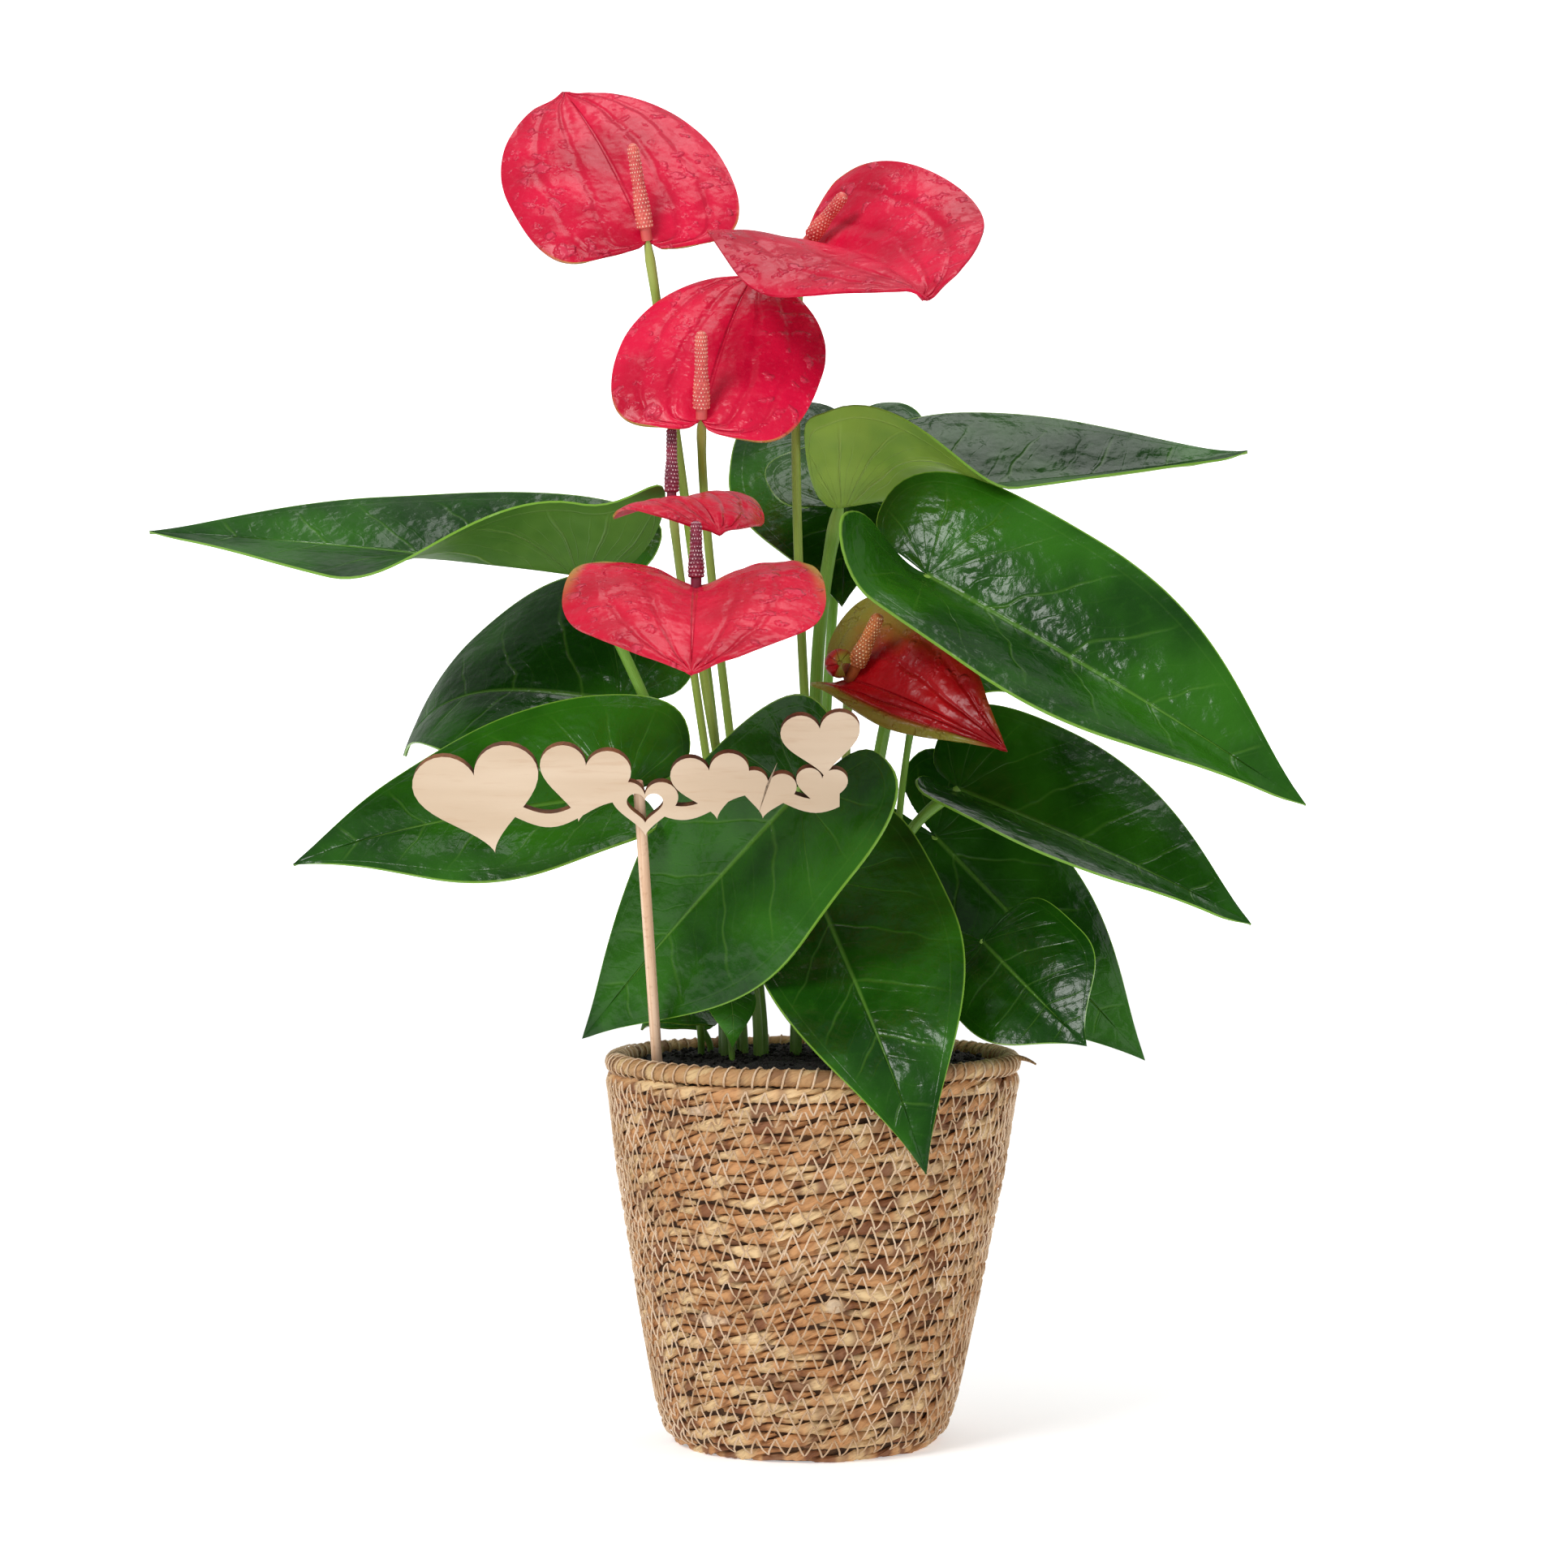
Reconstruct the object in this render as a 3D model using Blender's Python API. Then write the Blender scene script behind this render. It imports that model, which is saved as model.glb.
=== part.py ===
"""Potted anthurium in a round seagrass basket, with a wooden heart pick. Metres, +Z up.

The origin is the centre of the basket's flat base. +X is to the right and -Y towards the viewer.
Sizes below are in millimetres and degrees; MM turns them into metres.
"""

import math
from dataclasses import dataclass

import bmesh
import bpy
from mathutils import Matrix, Vector

MM = 0.001
GAP = 0.3  # clearance between pieces that touch

# Basket: a sewn coil of twisted seagrass rope, leaning a little to the right
BASKET_HEIGHT = 137.0
BASKET_PROFILE = ((0.0, 44.0), (5.0, 49.0), (16.0, 52.3), (49.0, 58.7), (94.0, 66.9), (119.0, 70.2), (130.0, 72.0))
BASKET_LEAN = 2.8
ROPE_ROWS = 20
ROPE_SIDES = 28
ROPE_RELIEF = 1.3
STRAND_RELIEF = 0.6
BASKET_WALL = 5.5
BASKET_FLOOR = 6.0
RIM_HALF = 3.2

# Nursery pot that stands inside the basket, filled with soil
POT_TOP = 129.0
POT_RADIUS_TOP = 64.0
POT_RADIUS_BASE = 40.0
POT_WALL = 1.5
POT_SIDES = 24
SOIL_TOP = 132.0
SOIL_RISE = 3.0
ROOT_DEPTH = 14.0
HOLE_SIDES = 6
HOLE_SPREAD = 1.16  # so that the flats of a hole clear the stalk in it

# Plant
BLADE_THICKNESS = 0.8
SPATHE_THICKNESS = 0.9
CREASE = 6.0  # width over which a half turns up from the rib
SECTION_STEPS = 8
LEAF_STEPS = 13  # edge points of a half, before rounding to whole numbers on each of its pieces
SPATHE_STEPS = 12
YOUNG_STEPS = 8
YOUNG_HALF = 15.0  # a young leaf is narrower than this
COLUMNS = 3  # faces from the rib to the edge
STEM_SIDES_LEVEL = 1
STALK_STEPS = 4
NECK_LENGTH = 7.0
NECK_SIDES = 6
NECK_TAPER = 0.55
SPADIX_ROWS = 12
SPADIX_SIDES = 8
FLORET_RELIEF = 0.16

# Pick: hearts on a wavy ribbon, cut from plywood and glued to a stick. The plate's points are measured
# across and up from the place where the stick ends behind it.
STICK_RADIUS = 1.85
STICK_FOOT = (-50.0, -23.5, 120.0)
STICK_TOP = (-55.4, -75.0, 231.0)
STICK_OVERLAP = 6.0
STICK_SIDES = 10
PLATE_THICKNESS = 3.0
PLATE_CLIMB = 0.06
RIBBON_START = -62.0
RIBBON_END = 66.0
RIBBON_WIDTH = 5.0
RIBBON_SWING = 4.0
RIBBON_PERIOD = 44.0
RIBBON_STEPS = 22
HEART_POINTS = 18
WINDOW_POINTS = 14
HEARTS = (
    # across, up, width, tilt
    (-52.0, 2.0, 42.0, -12.0),
    (-18.0, 8.0, 30.0, 8.0),
    (2.0, -1.0, 22.0, 0.0),
    (24.0, 7.0, 26.0, -8.0),
    (42.0, 4.0, 19.0, 8.0),
    (60.0, 22.0, 26.0, -6.0),
    (60.0, 6.0, 17.0, 4.0),
)
WINDOW = (2.0, -1.0, 12.0)


@dataclass
class Blade:
    """A heart-shaped blade. Left and right are as seen looking from the stalk to the tip, upper face up."""

    name: str
    junction: tuple
    tip: tuple
    half: tuple  # left and right half widths
    roll: float = 0.0  # turn about the line to the tip, from facing up
    fold: tuple = (10.0, 10.0)  # rise of each half near the stalk
    fold_tip: tuple = (5.0, 5.0)  # and near the tip
    fold_rate: float = 1.5  # how soon along the rib the fold changes into that of the tip
    curl: tuple = (-25.0, -25.0)  # turn of each half from rib to edge
    arch: tuple = (6.0, 6.0)  # rise of the rib at a third and at two thirds
    lobe: tuple = (0.24, 0.24)  # lobes behind the stalk, as a share of the length
    lift: tuple = (0.0, 0.0)  # rise of the lobes' ends
    belly: float = 0.24  # where along the rib the blade is widest
    full: float = 0.0  # 0 for a pointed tip, 1 for a round one
    root: tuple = (0.0, 0.0)
    bend: tuple = (0.0, 0.0, 0.0)  # the stalk's last control point
    stalk: float = 1.9
    rise: float = 0.4  # how far up the stalk leaves the upright


@dataclass
class Flower(Blade):
    belly: float = 0.36
    full: float = 1.0
    spadix: tuple = (0.0, 0.0, 40.0)  # from the junction to the spadix's end
    spadix_radius: float = 2.9
    boss: float = 3.4  # length of the short foot that carries the spadix
    spadix_color: str = "salmon"


LEAVES = [
    Blade("leaf_upper_right", (12, 17, 326.5), (159, 42, 347.5), (44, 44), roll=25, fold=(18, 94), fold_tip=(26, 30),
          fold_rate=2.8, curl=(-15, -15), arch=(2, -3), lobe=(0.14, 0.07), lift=(0, 6),
          root=(4, 3), bend=(7, 15, 302), stalk=2.3),
    Blade("leaf_right_large", (42, -19, 301), (166, -64, 223), (42, 46), roll=50, fold=(30, 50), fold_tip=(22, 42),
          arch=(2, 4), lobe=(0.2, 0.14), lift=(-6, 24), belly=0.28, root=(15, 8), bend=(35, 0, 280), stalk=2.2),
    Blade("leaf_back", (17, 78, 356), (13, 15, 291), (30, 44), roll=0, fold=(10, 10), arch=(4, 4), lobe=(0.24, 0.24),
          root=(3, 18), bend=(14, 80, 330), stalk=1.8),
    Blade("leaf_left_long", (-76.6, 2, 302), (-232.9, 27, 318), (41, 40), roll=-30, fold=(80, 24), fold_tip=(18, 12),
          fold_rate=1.9, curl=(-15, -15), arch=(2, 2), lobe=(0.18, 0.14), lift=(22, 0),
          root=(-31, 6), bend=(-67, 10, 282), stalk=1.9),
    Blade("leaf_left_upper", (-65.4, 26, 257.6), (-146, 64, 238), (42, 54), roll=-42, fold=(0, 25), curl=(-10, -10),
          arch=(12, 26), lobe=(0.1, 0.24), root=(-29, 14), bend=(-54, 26, 240), stalk=1.8),
    Blade("leaf_left_lower", (-62.6, -14, 226), (-174, -36, 202), (36, 42), roll=-42, fold=(32, 30), arch=(2, 8),
          lobe=(0.05, 0.24), root=(-30, -8), bend=(-48, -9, 212), stalk=1.9),
    Blade("leaf_front_left", (-2.2, -52, 227.5), (-77, -12, 141), (43, 31), roll=-86, fold=(24, 30), curl=(-10, -10),
          arch=(3, 4), lobe=(0.26, 0.22), root=(-6, -9), bend=(0, -10, 240), stalk=2.0),
    Blade("leaf_front", (2, -24, 197), (39, -88, 103), (41, 29), roll=28, fold=(0, 0), curl=(0, 0), arch=(0, 18),
          lobe=(0.2, 0.08), root=(4, -16), bend=(1, -15, 184), stalk=1.9),
    Blade("leaf_right_middle", (53.7, 5, 227), (152, -30, 181.5), (38, 36), roll=45, fold=(28, 58), fold_tip=(15, 50),
          arch=(2, 4), lobe=(0.14, 0.06), lift=(0, 4), root=(22, -1), bend=(42, 3, 219), stalk=1.9),
    Blade("leaf_right_back", (46, 20, 210), (120, 15, 131), (31, 34), roll=75, fold=(5, 5), arch=(3, 4),
          root=(17, 17), bend=(42, 28, 202), stalk=1.7),
    Blade("leaf_right_small", (61, -20, 175), (94, -55, 142), (27, 25), roll=62, fold=(2, 32), fold_tip=(2, 32),
          belly=0.42, arch=(3, 4), lobe=(0.03, 0.24), root=(22, -8), bend=(56, -4, 168), stalk=1.4),
    Blade("leaf_young_back", (-38, 18, 150), (-58, 24, 141), (12, 12), roll=-40, root=(-36, 13),
          bend=(-37, 15, 145), stalk=1.1),
    Blade("leaf_young_left", (-38, -4, 153), (-56, -10, 145), (12, 12), roll=-40, root=(-39, 0),
          bend=(-37, -2, 147), stalk=1.2),
    Blade("leaf_young_front", (-27, -27, 160), (-25, -37, 140), (9, 9), roll=0, root=(-28, -21),
          bend=(-27, -23, 152), stalk=1.1),
    Blade("leaf_young_pale", (38.5, -4, 258), (70, -10, 261), (10, 10), roll=40, root=(28, -12),
          bend=(36.5, -4, 247), stalk=1.2),
]

FLOWERS = [
    Flower("flower_top_left", (-55, 0, 418), (-87, 55, 478), (40, 40), roll=-20, lobe=(0.04, 0.08),
           root=(-25, 8), bend=(-51, 4, 392), stalk=1.6, rise=0.15, boss=4.4, spadix=(-5, -6, 33)),
    Flower("flower_middle", (-35.2, -42, 352.8), (-18, 4, 406.5), (36, 36), roll=13, lobe=(0.08, 0.08),
           root=(-17, -5), bend=(-36, -12, 334), stalk=1.5, rise=0.15, spadix=(0, -8, 29)),
    Flower("flower_top_right", (-1.5, -2, 414.6), (38.5, -76, 389.4), (45, 47), roll=-28, fold=(98, -12),
           fold_tip=(72, -38), lobe=(0.08, 0.08), root=(4, -6), bend=(-3, 1, 390), stalk=1.6, rise=0.15,
           boss=7.0, spadix=(15, -17, 17)),
    Flower("flower_back_small", (-45.5, -35, 325.2), (-28.6, -73, 312.3), (27, 26), roll=0, fold=(30, -8),
           curl=(-45, -20), lobe=(0.1, 0.1), root=(-24, -2), bend=(-43.5, -22, 304), stalk=1.4, rise=0.15,
           spadix=(0, 0, 26), spadix_radius=2.5, spadix_color="purple"),
    Flower("flower_front", (-36.2, -80, 294.6), (-36.3, -144, 265.4), (43, 43), roll=0, fold=(34, 34),
           fold_tip=(20, 20), curl=(-45, -45), lobe=(0.1, 0.1), root=(-19, -10), bend=(-36.2, -38, 264), stalk=1.6,
           rise=0.3, spadix=(0, 0, 22), spadix_radius=2.7, spadix_color="purple"),
    Flower("flower_right_low", (14.9, -22, 265), (67, -57, 241), (36, 15), roll=60, fold=(14, 72), lobe=(0.28, 0.06),
           belly=0.12, full=0.0, root=(12, -4), bend=(14.2, -10, 249), stalk=1.5, rise=0.15, boss=7.0,
           spadix=(10, -15, 22), spadix_radius=3.2, spadix_color="orange"),
]


def mm(values):
    """A point given in millimetres, as a vector in metres."""
    return Vector(values) * MM


def bezier(points, t):
    """A point on the cubic through four control points."""
    s = 1 - t
    weights = (s * s * s, 3 * s * s * t, 3 * s * t * t, t * t * t)
    return sum((w * p for w, p in zip(weights, points)), points[0] * 0)


def smooth(t):
    t = min(1.0, max(0.0, t))
    return t * t * (3 - 2 * t)


def half_outline(length, width, lobe, blade, steps):
    """Edge of one half from the tip to the notch, as (along the rib, out from it)."""
    widest = blade.belly * length
    back = lobe * length
    shoulder = (0.76 + 0.14 * blade.full) * length
    tip_width = (0.34 + 0.16 * blade.full) * width
    corner = (0.95 - 0.17 * blade.full) * width
    notch = (-0.5 * back, 0.075 * width)
    pieces = (
        ((length, 0), (shoulder, tip_width), (widest + 0.34 * length, width), (widest, width)),
        ((widest, width), (min(0, widest - 0.26 * length), width), (-back, corner), (-back, 0.52 * width)),
        ((-back, 0.52 * width), (-back, 0.2 * width), (-0.8 * back, 0.11 * width), notch),
    )
    shares = (0.5, 0.34, 0.12)
    edge = []
    for points, share in zip(pieces, shares):
        count = max(2, round(steps * share))
        for i in range(count):
            edge.append(tuple(bezier([Vector(q) for q in points], i / count)))
    edge.append(notch)
    return edge


class Surface:
    """The blade's middle surface: a curved rib, and two halves that fold and curl about it."""

    def __init__(self, blade):
        self.blade = blade
        self.start = mm(blade.junction)
        self.end = mm(blade.tip)
        chord = (self.end - self.start).normalized()
        up = Vector((0, 0, 1))
        level = (up - chord * up.dot(chord)).normalized()
        turn = math.radians(blade.roll)
        self.normal = level * math.cos(turn) + chord.cross(level) * math.sin(turn)
        third = (self.end - self.start) / 3
        first, second = (a * MM * 1.3 for a in blade.arch)
        self.rib = [
            self.start,
            self.start + third + self.normal * first,
            self.end - third + self.normal * second,
            self.end,
        ]
        marks = [bezier(self.rib, i / 24) for i in range(25)]
        self.length = sum((b - a).length for a, b in zip(marks, marks[1:]))

    def frame(self, u):
        """Point on the rib, its direction, the upward normal and the left-hand direction there."""
        t = min(1.0, max(0.0, u / self.length))
        before, after = max(0.0, t - 0.01), min(1.0, t + 0.01)
        along = (bezier(self.rib, after) - bezier(self.rib, before)).normalized()
        normal = (self.normal - along * self.normal.dot(along)).normalized()
        point = bezier(self.rib, t)
        if u < 0:
            point = point + along * u
        return point, along, normal, normal.cross(along)

    def at(self, u, v, side):
        """Point at u along the rib and v out on a side, 0 for left and 1 for right."""
        blade = self.blade
        point, _, normal, left = self.frame(u)
        out = left if side == 0 else -left
        width = blade.half[side] * MM
        mix = smooth(blade.fold_rate * u / self.length)
        fold = math.radians(blade.fold[side] * (1 - mix) + blade.fold_tip[side] * mix)
        across = height = 0.0
        for step in range(SECTION_STEPS):
            reach = v * (step + 0.5) / SECTION_STEPS
            slope = fold * min(1.0, reach / (CREASE * MM)) + math.radians(blade.curl[side]) * reach / width
            across += math.cos(slope) * v / SECTION_STEPS
            height += math.sin(slope) * v / SECTION_STEPS
        if u < 0:
            height += blade.lift[side] * MM * (u / (blade.lobe[side] * self.length)) ** 2
        return point + out * across + normal * height


def vein_start(u, length):
    """Where on the rib the side vein that ends at u on the edge begins."""
    return max(0.0, (u - 0.30 * length) / 0.70)


def blade_mesh(name, blade, edge_steps):
    """The blade's middle surface as a triangulated mesh, both halves joined along the rib."""
    surface = Surface(blade)
    work = bmesh.new()
    for side in (0, 1):
        edge = half_outline(surface.length, blade.half[side] * MM, blade.lobe[side], blade, edge_steps)
        rows = []
        for u, v in edge:
            start = vein_start(u, surface.length)
            row = []
            for j in range(COLUMNS + 1):
                c = j / COLUMNS
                row.append(work.verts.new(surface.at(start + (u - start) * c, v * c, side)))
            rows.append(row)
        for a, b in zip(rows, rows[1:]):
            for j in range(COLUMNS):
                corners = [a[j], b[j], b[j + 1], a[j + 1]]
                work.faces.new(corners if side == 0 else corners[::-1])
    bmesh.ops.remove_doubles(work, verts=work.verts, dist=0.02 * MM)
    bmesh.ops.triangulate(work, faces=work.faces)
    bmesh.ops.recalc_face_normals(work, faces=work.faces)
    mesh = bpy.data.meshes.new(name)
    work.to_mesh(mesh)
    work.free()
    return mesh


def clear_scene():
    for obj in list(bpy.data.objects):
        bpy.data.objects.remove(obj, do_unlink=True)


def material(name, color, roughness, metallic=0.0):
    found = bpy.data.materials.new(name)
    found.use_nodes = True
    shader = found.node_tree.nodes["Principled BSDF"]
    shader.inputs["Base Color"].default_value = (*color, 1.0)
    shader.inputs["Roughness"].default_value = roughness
    shader.inputs["Metallic"].default_value = metallic
    return found


def add_object(name, data, finish):
    """Put a mesh or a curve into the scene, shaded smooth where it is round."""
    obj = bpy.data.objects.new(name, data)
    bpy.context.scene.collection.objects.link(obj)
    if finish:
        data.materials.append(finish)
    if isinstance(data, bpy.types.Mesh):
        data.shade_smooth()
        data.set_sharp_from_angle(angle=math.radians(50))
    return obj


def add_helper(name, mesh):
    """A cutter, or a shape that a Boolean joins: seen only as wire and left out of the model."""
    obj = add_object(name, mesh, None)
    obj.hide_render = True
    obj.display_type = "WIRE"
    return obj


def boolean(obj, helper, operation):
    modifier = obj.modifiers.new(helper.name, "BOOLEAN")
    modifier.operation = operation
    modifier.object = helper
    modifier.solver = "EXACT"


def mesh_of(name, work):
    """Close a bmesh into a mesh with its faces pointing out."""
    bmesh.ops.recalc_face_normals(work, faces=work.faces)
    mesh = bpy.data.meshes.new(name)
    work.to_mesh(mesh)
    work.free()
    return mesh


def along(start, end):
    """A matrix that puts a shape standing on +Z along the line from start to end, centred on it."""
    turn = (end - start).to_track_quat("Z", "Y").to_matrix().to_4x4()
    return Matrix.Translation((start + end) / 2) @ turn


def add_cone(work, start, end, radius_start, radius_end, sides):
    bmesh.ops.create_cone(
        work, cap_ends=True, cap_tris=True, segments=sides, radius1=radius_start, radius2=radius_end,
        depth=(end - start).length, matrix=along(start, end),
    )


def lean_at(z):
    """The basket's centre line leans to the right on its way up."""
    return BASKET_LEAN * z / BASKET_HEIGHT


def lathe(name, rings, sides):
    """A closed turned solid. Each ring is (radius, z) or a function of the angle that gives it, in millimetres."""
    work = bmesh.new()
    loops = []
    for ring in rings:
        loop = []
        for k in range(sides):
            angle = math.tau * k / sides
            radius, z = ring(angle) if callable(ring) else ring
            loop.append(work.verts.new(mm((radius * math.cos(angle) + lean_at(z), radius * math.sin(angle), z))))
        loops.append(loop)
    for low, high in zip(loops, loops[1:]):
        for k in range(sides):
            work.faces.new((low[k], low[(k + 1) % sides], high[(k + 1) % sides], high[k]))
    for loop in (loops[0], loops[-1]):
        work.faces.new(loop)
    bmesh.ops.triangulate(work, faces=work.faces)
    return mesh_of(name, work)


def basket_radius(z):
    """Outer radius of the basket at a height, read from its profile."""
    for (z0, r0), (z1, r1) in zip(BASKET_PROFILE, BASKET_PROFILE[1:]):
        if z <= z1:
            return r0 + (r1 - r0) * (z - z0) / (z1 - z0)
    return BASKET_PROFILE[-1][1]


def rope_ring(z, row, is_crown):
    """A ring of the rope wall. The crown of each rope stands out, and its strands alternate around it."""
    radius = basket_radius(z)

    def point(angle):
        if not is_crown:
            return radius - ROPE_RELIEF, z
        strand = STRAND_RELIEF if (round(angle / math.tau * ROPE_SIDES) + row) % 2 else -STRAND_RELIEF
        return radius + strand, z

    return point


def add_basket(finish):
    wall_top = BASKET_HEIGHT - 2 * RIM_HALF
    pitch = (wall_top - 2.0) / ROPE_ROWS
    rings = [(BASKET_PROFILE[0][1] - 4.0, 0.0)]
    for row in range(ROPE_ROWS):
        z = 2.0 + pitch * row
        rings.append(rope_ring(z, row, False))
        rings.append(rope_ring(z + pitch / 2, row, True))
    rim = basket_radius(wall_top) - RIM_HALF
    rings += [
        (rim + RIM_HALF - ROPE_RELIEF, wall_top),
        (rim + RIM_HALF + 0.4, wall_top + RIM_HALF),
        (rim + 0.6 * RIM_HALF, BASKET_HEIGHT - 0.7),
        (rim - 0.6 * RIM_HALF, BASKET_HEIGHT),
        (rim - RIM_HALF, wall_top + RIM_HALF),
    ]
    for z in (115.0, 80.0, 40.0, BASKET_FLOOR + 8.0):
        rings.append((basket_radius(z) - BASKET_WALL, z))
    rings.append((basket_radius(BASKET_FLOOR) - BASKET_WALL - 2.0, BASKET_FLOOR))
    return add_object("basket", lathe("basket", rings, ROPE_SIDES), finish)


def pot_radius(z):
    return POT_RADIUS_BASE + (POT_RADIUS_TOP - POT_RADIUS_BASE) * (z - BASKET_FLOOR) / (POT_TOP - BASKET_FLOOR)


def add_pot(finish):
    base = BASKET_FLOOR + GAP
    rings = [
        (pot_radius(base) - 1.0, base),
        (pot_radius(base), base + 1.0),
        (pot_radius(POT_TOP), POT_TOP),
        (pot_radius(POT_TOP) - POT_WALL, POT_TOP),
        (pot_radius(base) - POT_WALL, base + POT_WALL),
    ]
    return add_object("nursery_pot", lathe("nursery_pot", rings, POT_SIDES), finish)


def soil_height(x, y):
    """Height of the soil: a low crown with crumbs on it."""
    distance = math.hypot(x, y) / POT_RADIUS_TOP
    crumbs = math.sin(0.61 * x + 1.3) * math.sin(0.53 * y + 0.4) + 0.6 * math.sin(0.37 * x - 0.83 * y)
    return SOIL_TOP + SOIL_RISE * (1 - distance * distance) + 0.45 * crumbs


def add_soil(holes, finish):
    """The soil fills the pot, and each stalk and the stick stand in a plain hole in it."""
    base = BASKET_FLOOR + GAP + POT_WALL + GAP
    margin = POT_WALL + GAP
    rings = [(pot_radius(base) - margin - 0.5, base), (pot_radius(POT_TOP) - margin, POT_TOP)]
    for share in (0.985, 0.78, 0.54, 0.28):
        radius = (POT_RADIUS_TOP - margin) * share

        def crumbly(angle, radius=radius):
            return radius, soil_height(radius * math.cos(angle), radius * math.sin(angle))

        rings.append(crumbly)
    soil = add_object("soil", lathe("soil", rings, POT_SIDES), finish)
    cutter = bmesh.new()
    for start, end, radius in holes:
        add_cone(cutter, start, end, radius, radius, HOLE_SIDES)
    boolean(soil, add_helper("root_holes", mesh_of("root_holes", cutter)), "DIFFERENCE")
    return soil


def stalk_direction(blade):
    return (mm(blade.junction) - mm(blade.bend)).normalized()


def add_stalk(blade, finish):
    """A stalk that stands in the soil, rises and ends just under its blade. Returns its hole in the soil."""
    root = Vector((blade.root[0] + lean_at(SOIL_TOP), blade.root[1], 0))
    ground = mm((root.x, root.y, soil_height(root.x, root.y) + 1.0))
    foot = ground - mm((0, 0, ROOT_DEPTH))
    direction = stalk_direction(blade)
    top = mm(blade.junction) - direction * (NECK_LENGTH + GAP) * MM
    curve = bpy.data.curves.new(blade.name + "_stalk", "CURVE")
    curve.dimensions = "3D"
    curve.resolution_u = STALK_STEPS
    curve.bevel_depth = blade.stalk * MM
    curve.bevel_resolution = STEM_SIDES_LEVEL
    curve.use_fill_caps = True
    spline = curve.splines.new("BEZIER")
    spline.bezier_points.add(2)
    rise = Vector((0, 0, (top.z - ground.z) * blade.rise))
    reach = top - direction * (top - ground).length * 0.35
    knots = (
        (foot, foot - rise * 0.1, foot + (ground - foot) / 3),
        (ground, ground - (ground - foot) / 3, ground + rise),
        (top, reach, top + direction * 0.01),
    )
    for point, (place, before, after) in zip(spline.bezier_points, knots):
        point.co, point.handle_left, point.handle_right = place, before, after
    add_object(blade.name + "_stalk", curve, finish)
    deep = mm((0, 0, 1.0))
    return foot - deep, ground + deep * 12, (blade.stalk + GAP) * MM * HOLE_SPREAD


def add_blade(blade, finish, stalk_finish):
    """A leaf's blade or a flower's spathe with the short neck that carries it, and its stalk.

    Returns the stalk's hole in the soil.
    """
    is_spathe = isinstance(blade, Flower)
    steps = SPATHE_STEPS if is_spathe else LEAF_STEPS
    if blade.half[0] < YOUNG_HALF:
        steps = YOUNG_STEPS
    mesh = blade_mesh(blade.name, blade, steps)
    part = "_spathe" if is_spathe else "_blade"
    obj = add_object(blade.name + part, mesh, finish)
    solid = obj.modifiers.new("thickness", "SOLIDIFY")
    solid.thickness = (SPATHE_THICKNESS if is_spathe else BLADE_THICKNESS) * MM
    solid.offset = 0
    direction = stalk_direction(blade)
    junction = mm(blade.junction)
    neck = bmesh.new()
    add_cone(neck, junction - direction * NECK_LENGTH * MM, junction + direction * 0.35 * MM,
             blade.stalk * MM, blade.stalk * NECK_TAPER * MM, NECK_SIDES)
    boolean(obj, add_helper(blade.name + "_neck", mesh_of("neck", neck)), "UNION")
    if is_spathe:
        reach = mm(blade.spadix)
        start = junction - reach.normalized() * 0.6 * MM
        end = junction + reach.normalized() * blade.boss * MM
        boss = bmesh.new()
        add_cone(boss, start, end, blade.spadix_radius * 0.7 * MM, blade.spadix_radius * 0.6 * MM,
                 NECK_SIDES)
        boolean(obj, add_helper(blade.name + "_boss", mesh_of("boss", boss)), "UNION")
    return add_stalk(blade, stalk_finish)


def add_spadix(flower, finish):
    """The spike of florets: a slim cone with a round end, set with rows of small bumps."""
    reach = mm(flower.spadix)
    start = mm(flower.junction) + reach.normalized() * (flower.boss + GAP) * MM
    end = mm(flower.junction) + reach
    place = along(start, end)
    half = (end - start).length / 2
    work = bmesh.new()
    loops = []
    for i in range(SPADIX_ROWS + 1):
        share = i / SPADIX_ROWS
        taper = 0.8 + 0.2 * math.sin(math.pi * min(1.0, share * 1.6 + 0.25)) - 0.12 * share
        ends = math.sqrt(max(0.12, 1 - max(0.0, (share - 0.86) / 0.16) ** 2)) * (0.72 if i == 0 else 1.0)
        loop = []
        for k in range(SPADIX_SIDES):
            angle = math.tau * (k + 0.5 * (i % 2)) / SPADIX_SIDES
            bump = FLORET_RELIEF if (k + i // 2) % 2 else -FLORET_RELIEF
            radius = (flower.spadix_radius * taper * ends + bump) * MM
            height = half * (2 * share - 1)
            loop.append(work.verts.new(place @ Vector((radius * math.cos(angle), radius * math.sin(angle), height))))
        loops.append(loop)
    for low, high in zip(loops, loops[1:]):
        for k in range(SPADIX_SIDES):
            work.faces.new((low[k], low[(k + 1) % SPADIX_SIDES], high[(k + 1) % SPADIX_SIDES], high[k]))
    for loop in (loops[0], loops[-1]):
        work.faces.new(loop)
    bmesh.ops.triangulate(work, faces=work.faces)
    return add_object(flower.name + "_spadix", mesh_of("spadix", work), finish)


def heart_points(size, count):
    """Outline of a heart of a given width around its middle, as (across, up)."""
    points = []
    for i in range(count):
        t = math.tau * i / count
        across = math.sin(t) ** 3
        up = (13 * math.cos(t) - 5 * math.cos(2 * t) - 2 * math.cos(3 * t) - math.cos(4 * t)) / 16
        points.append((across * size / 2, (up + 0.1) * size / 2))
    return points


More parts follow.
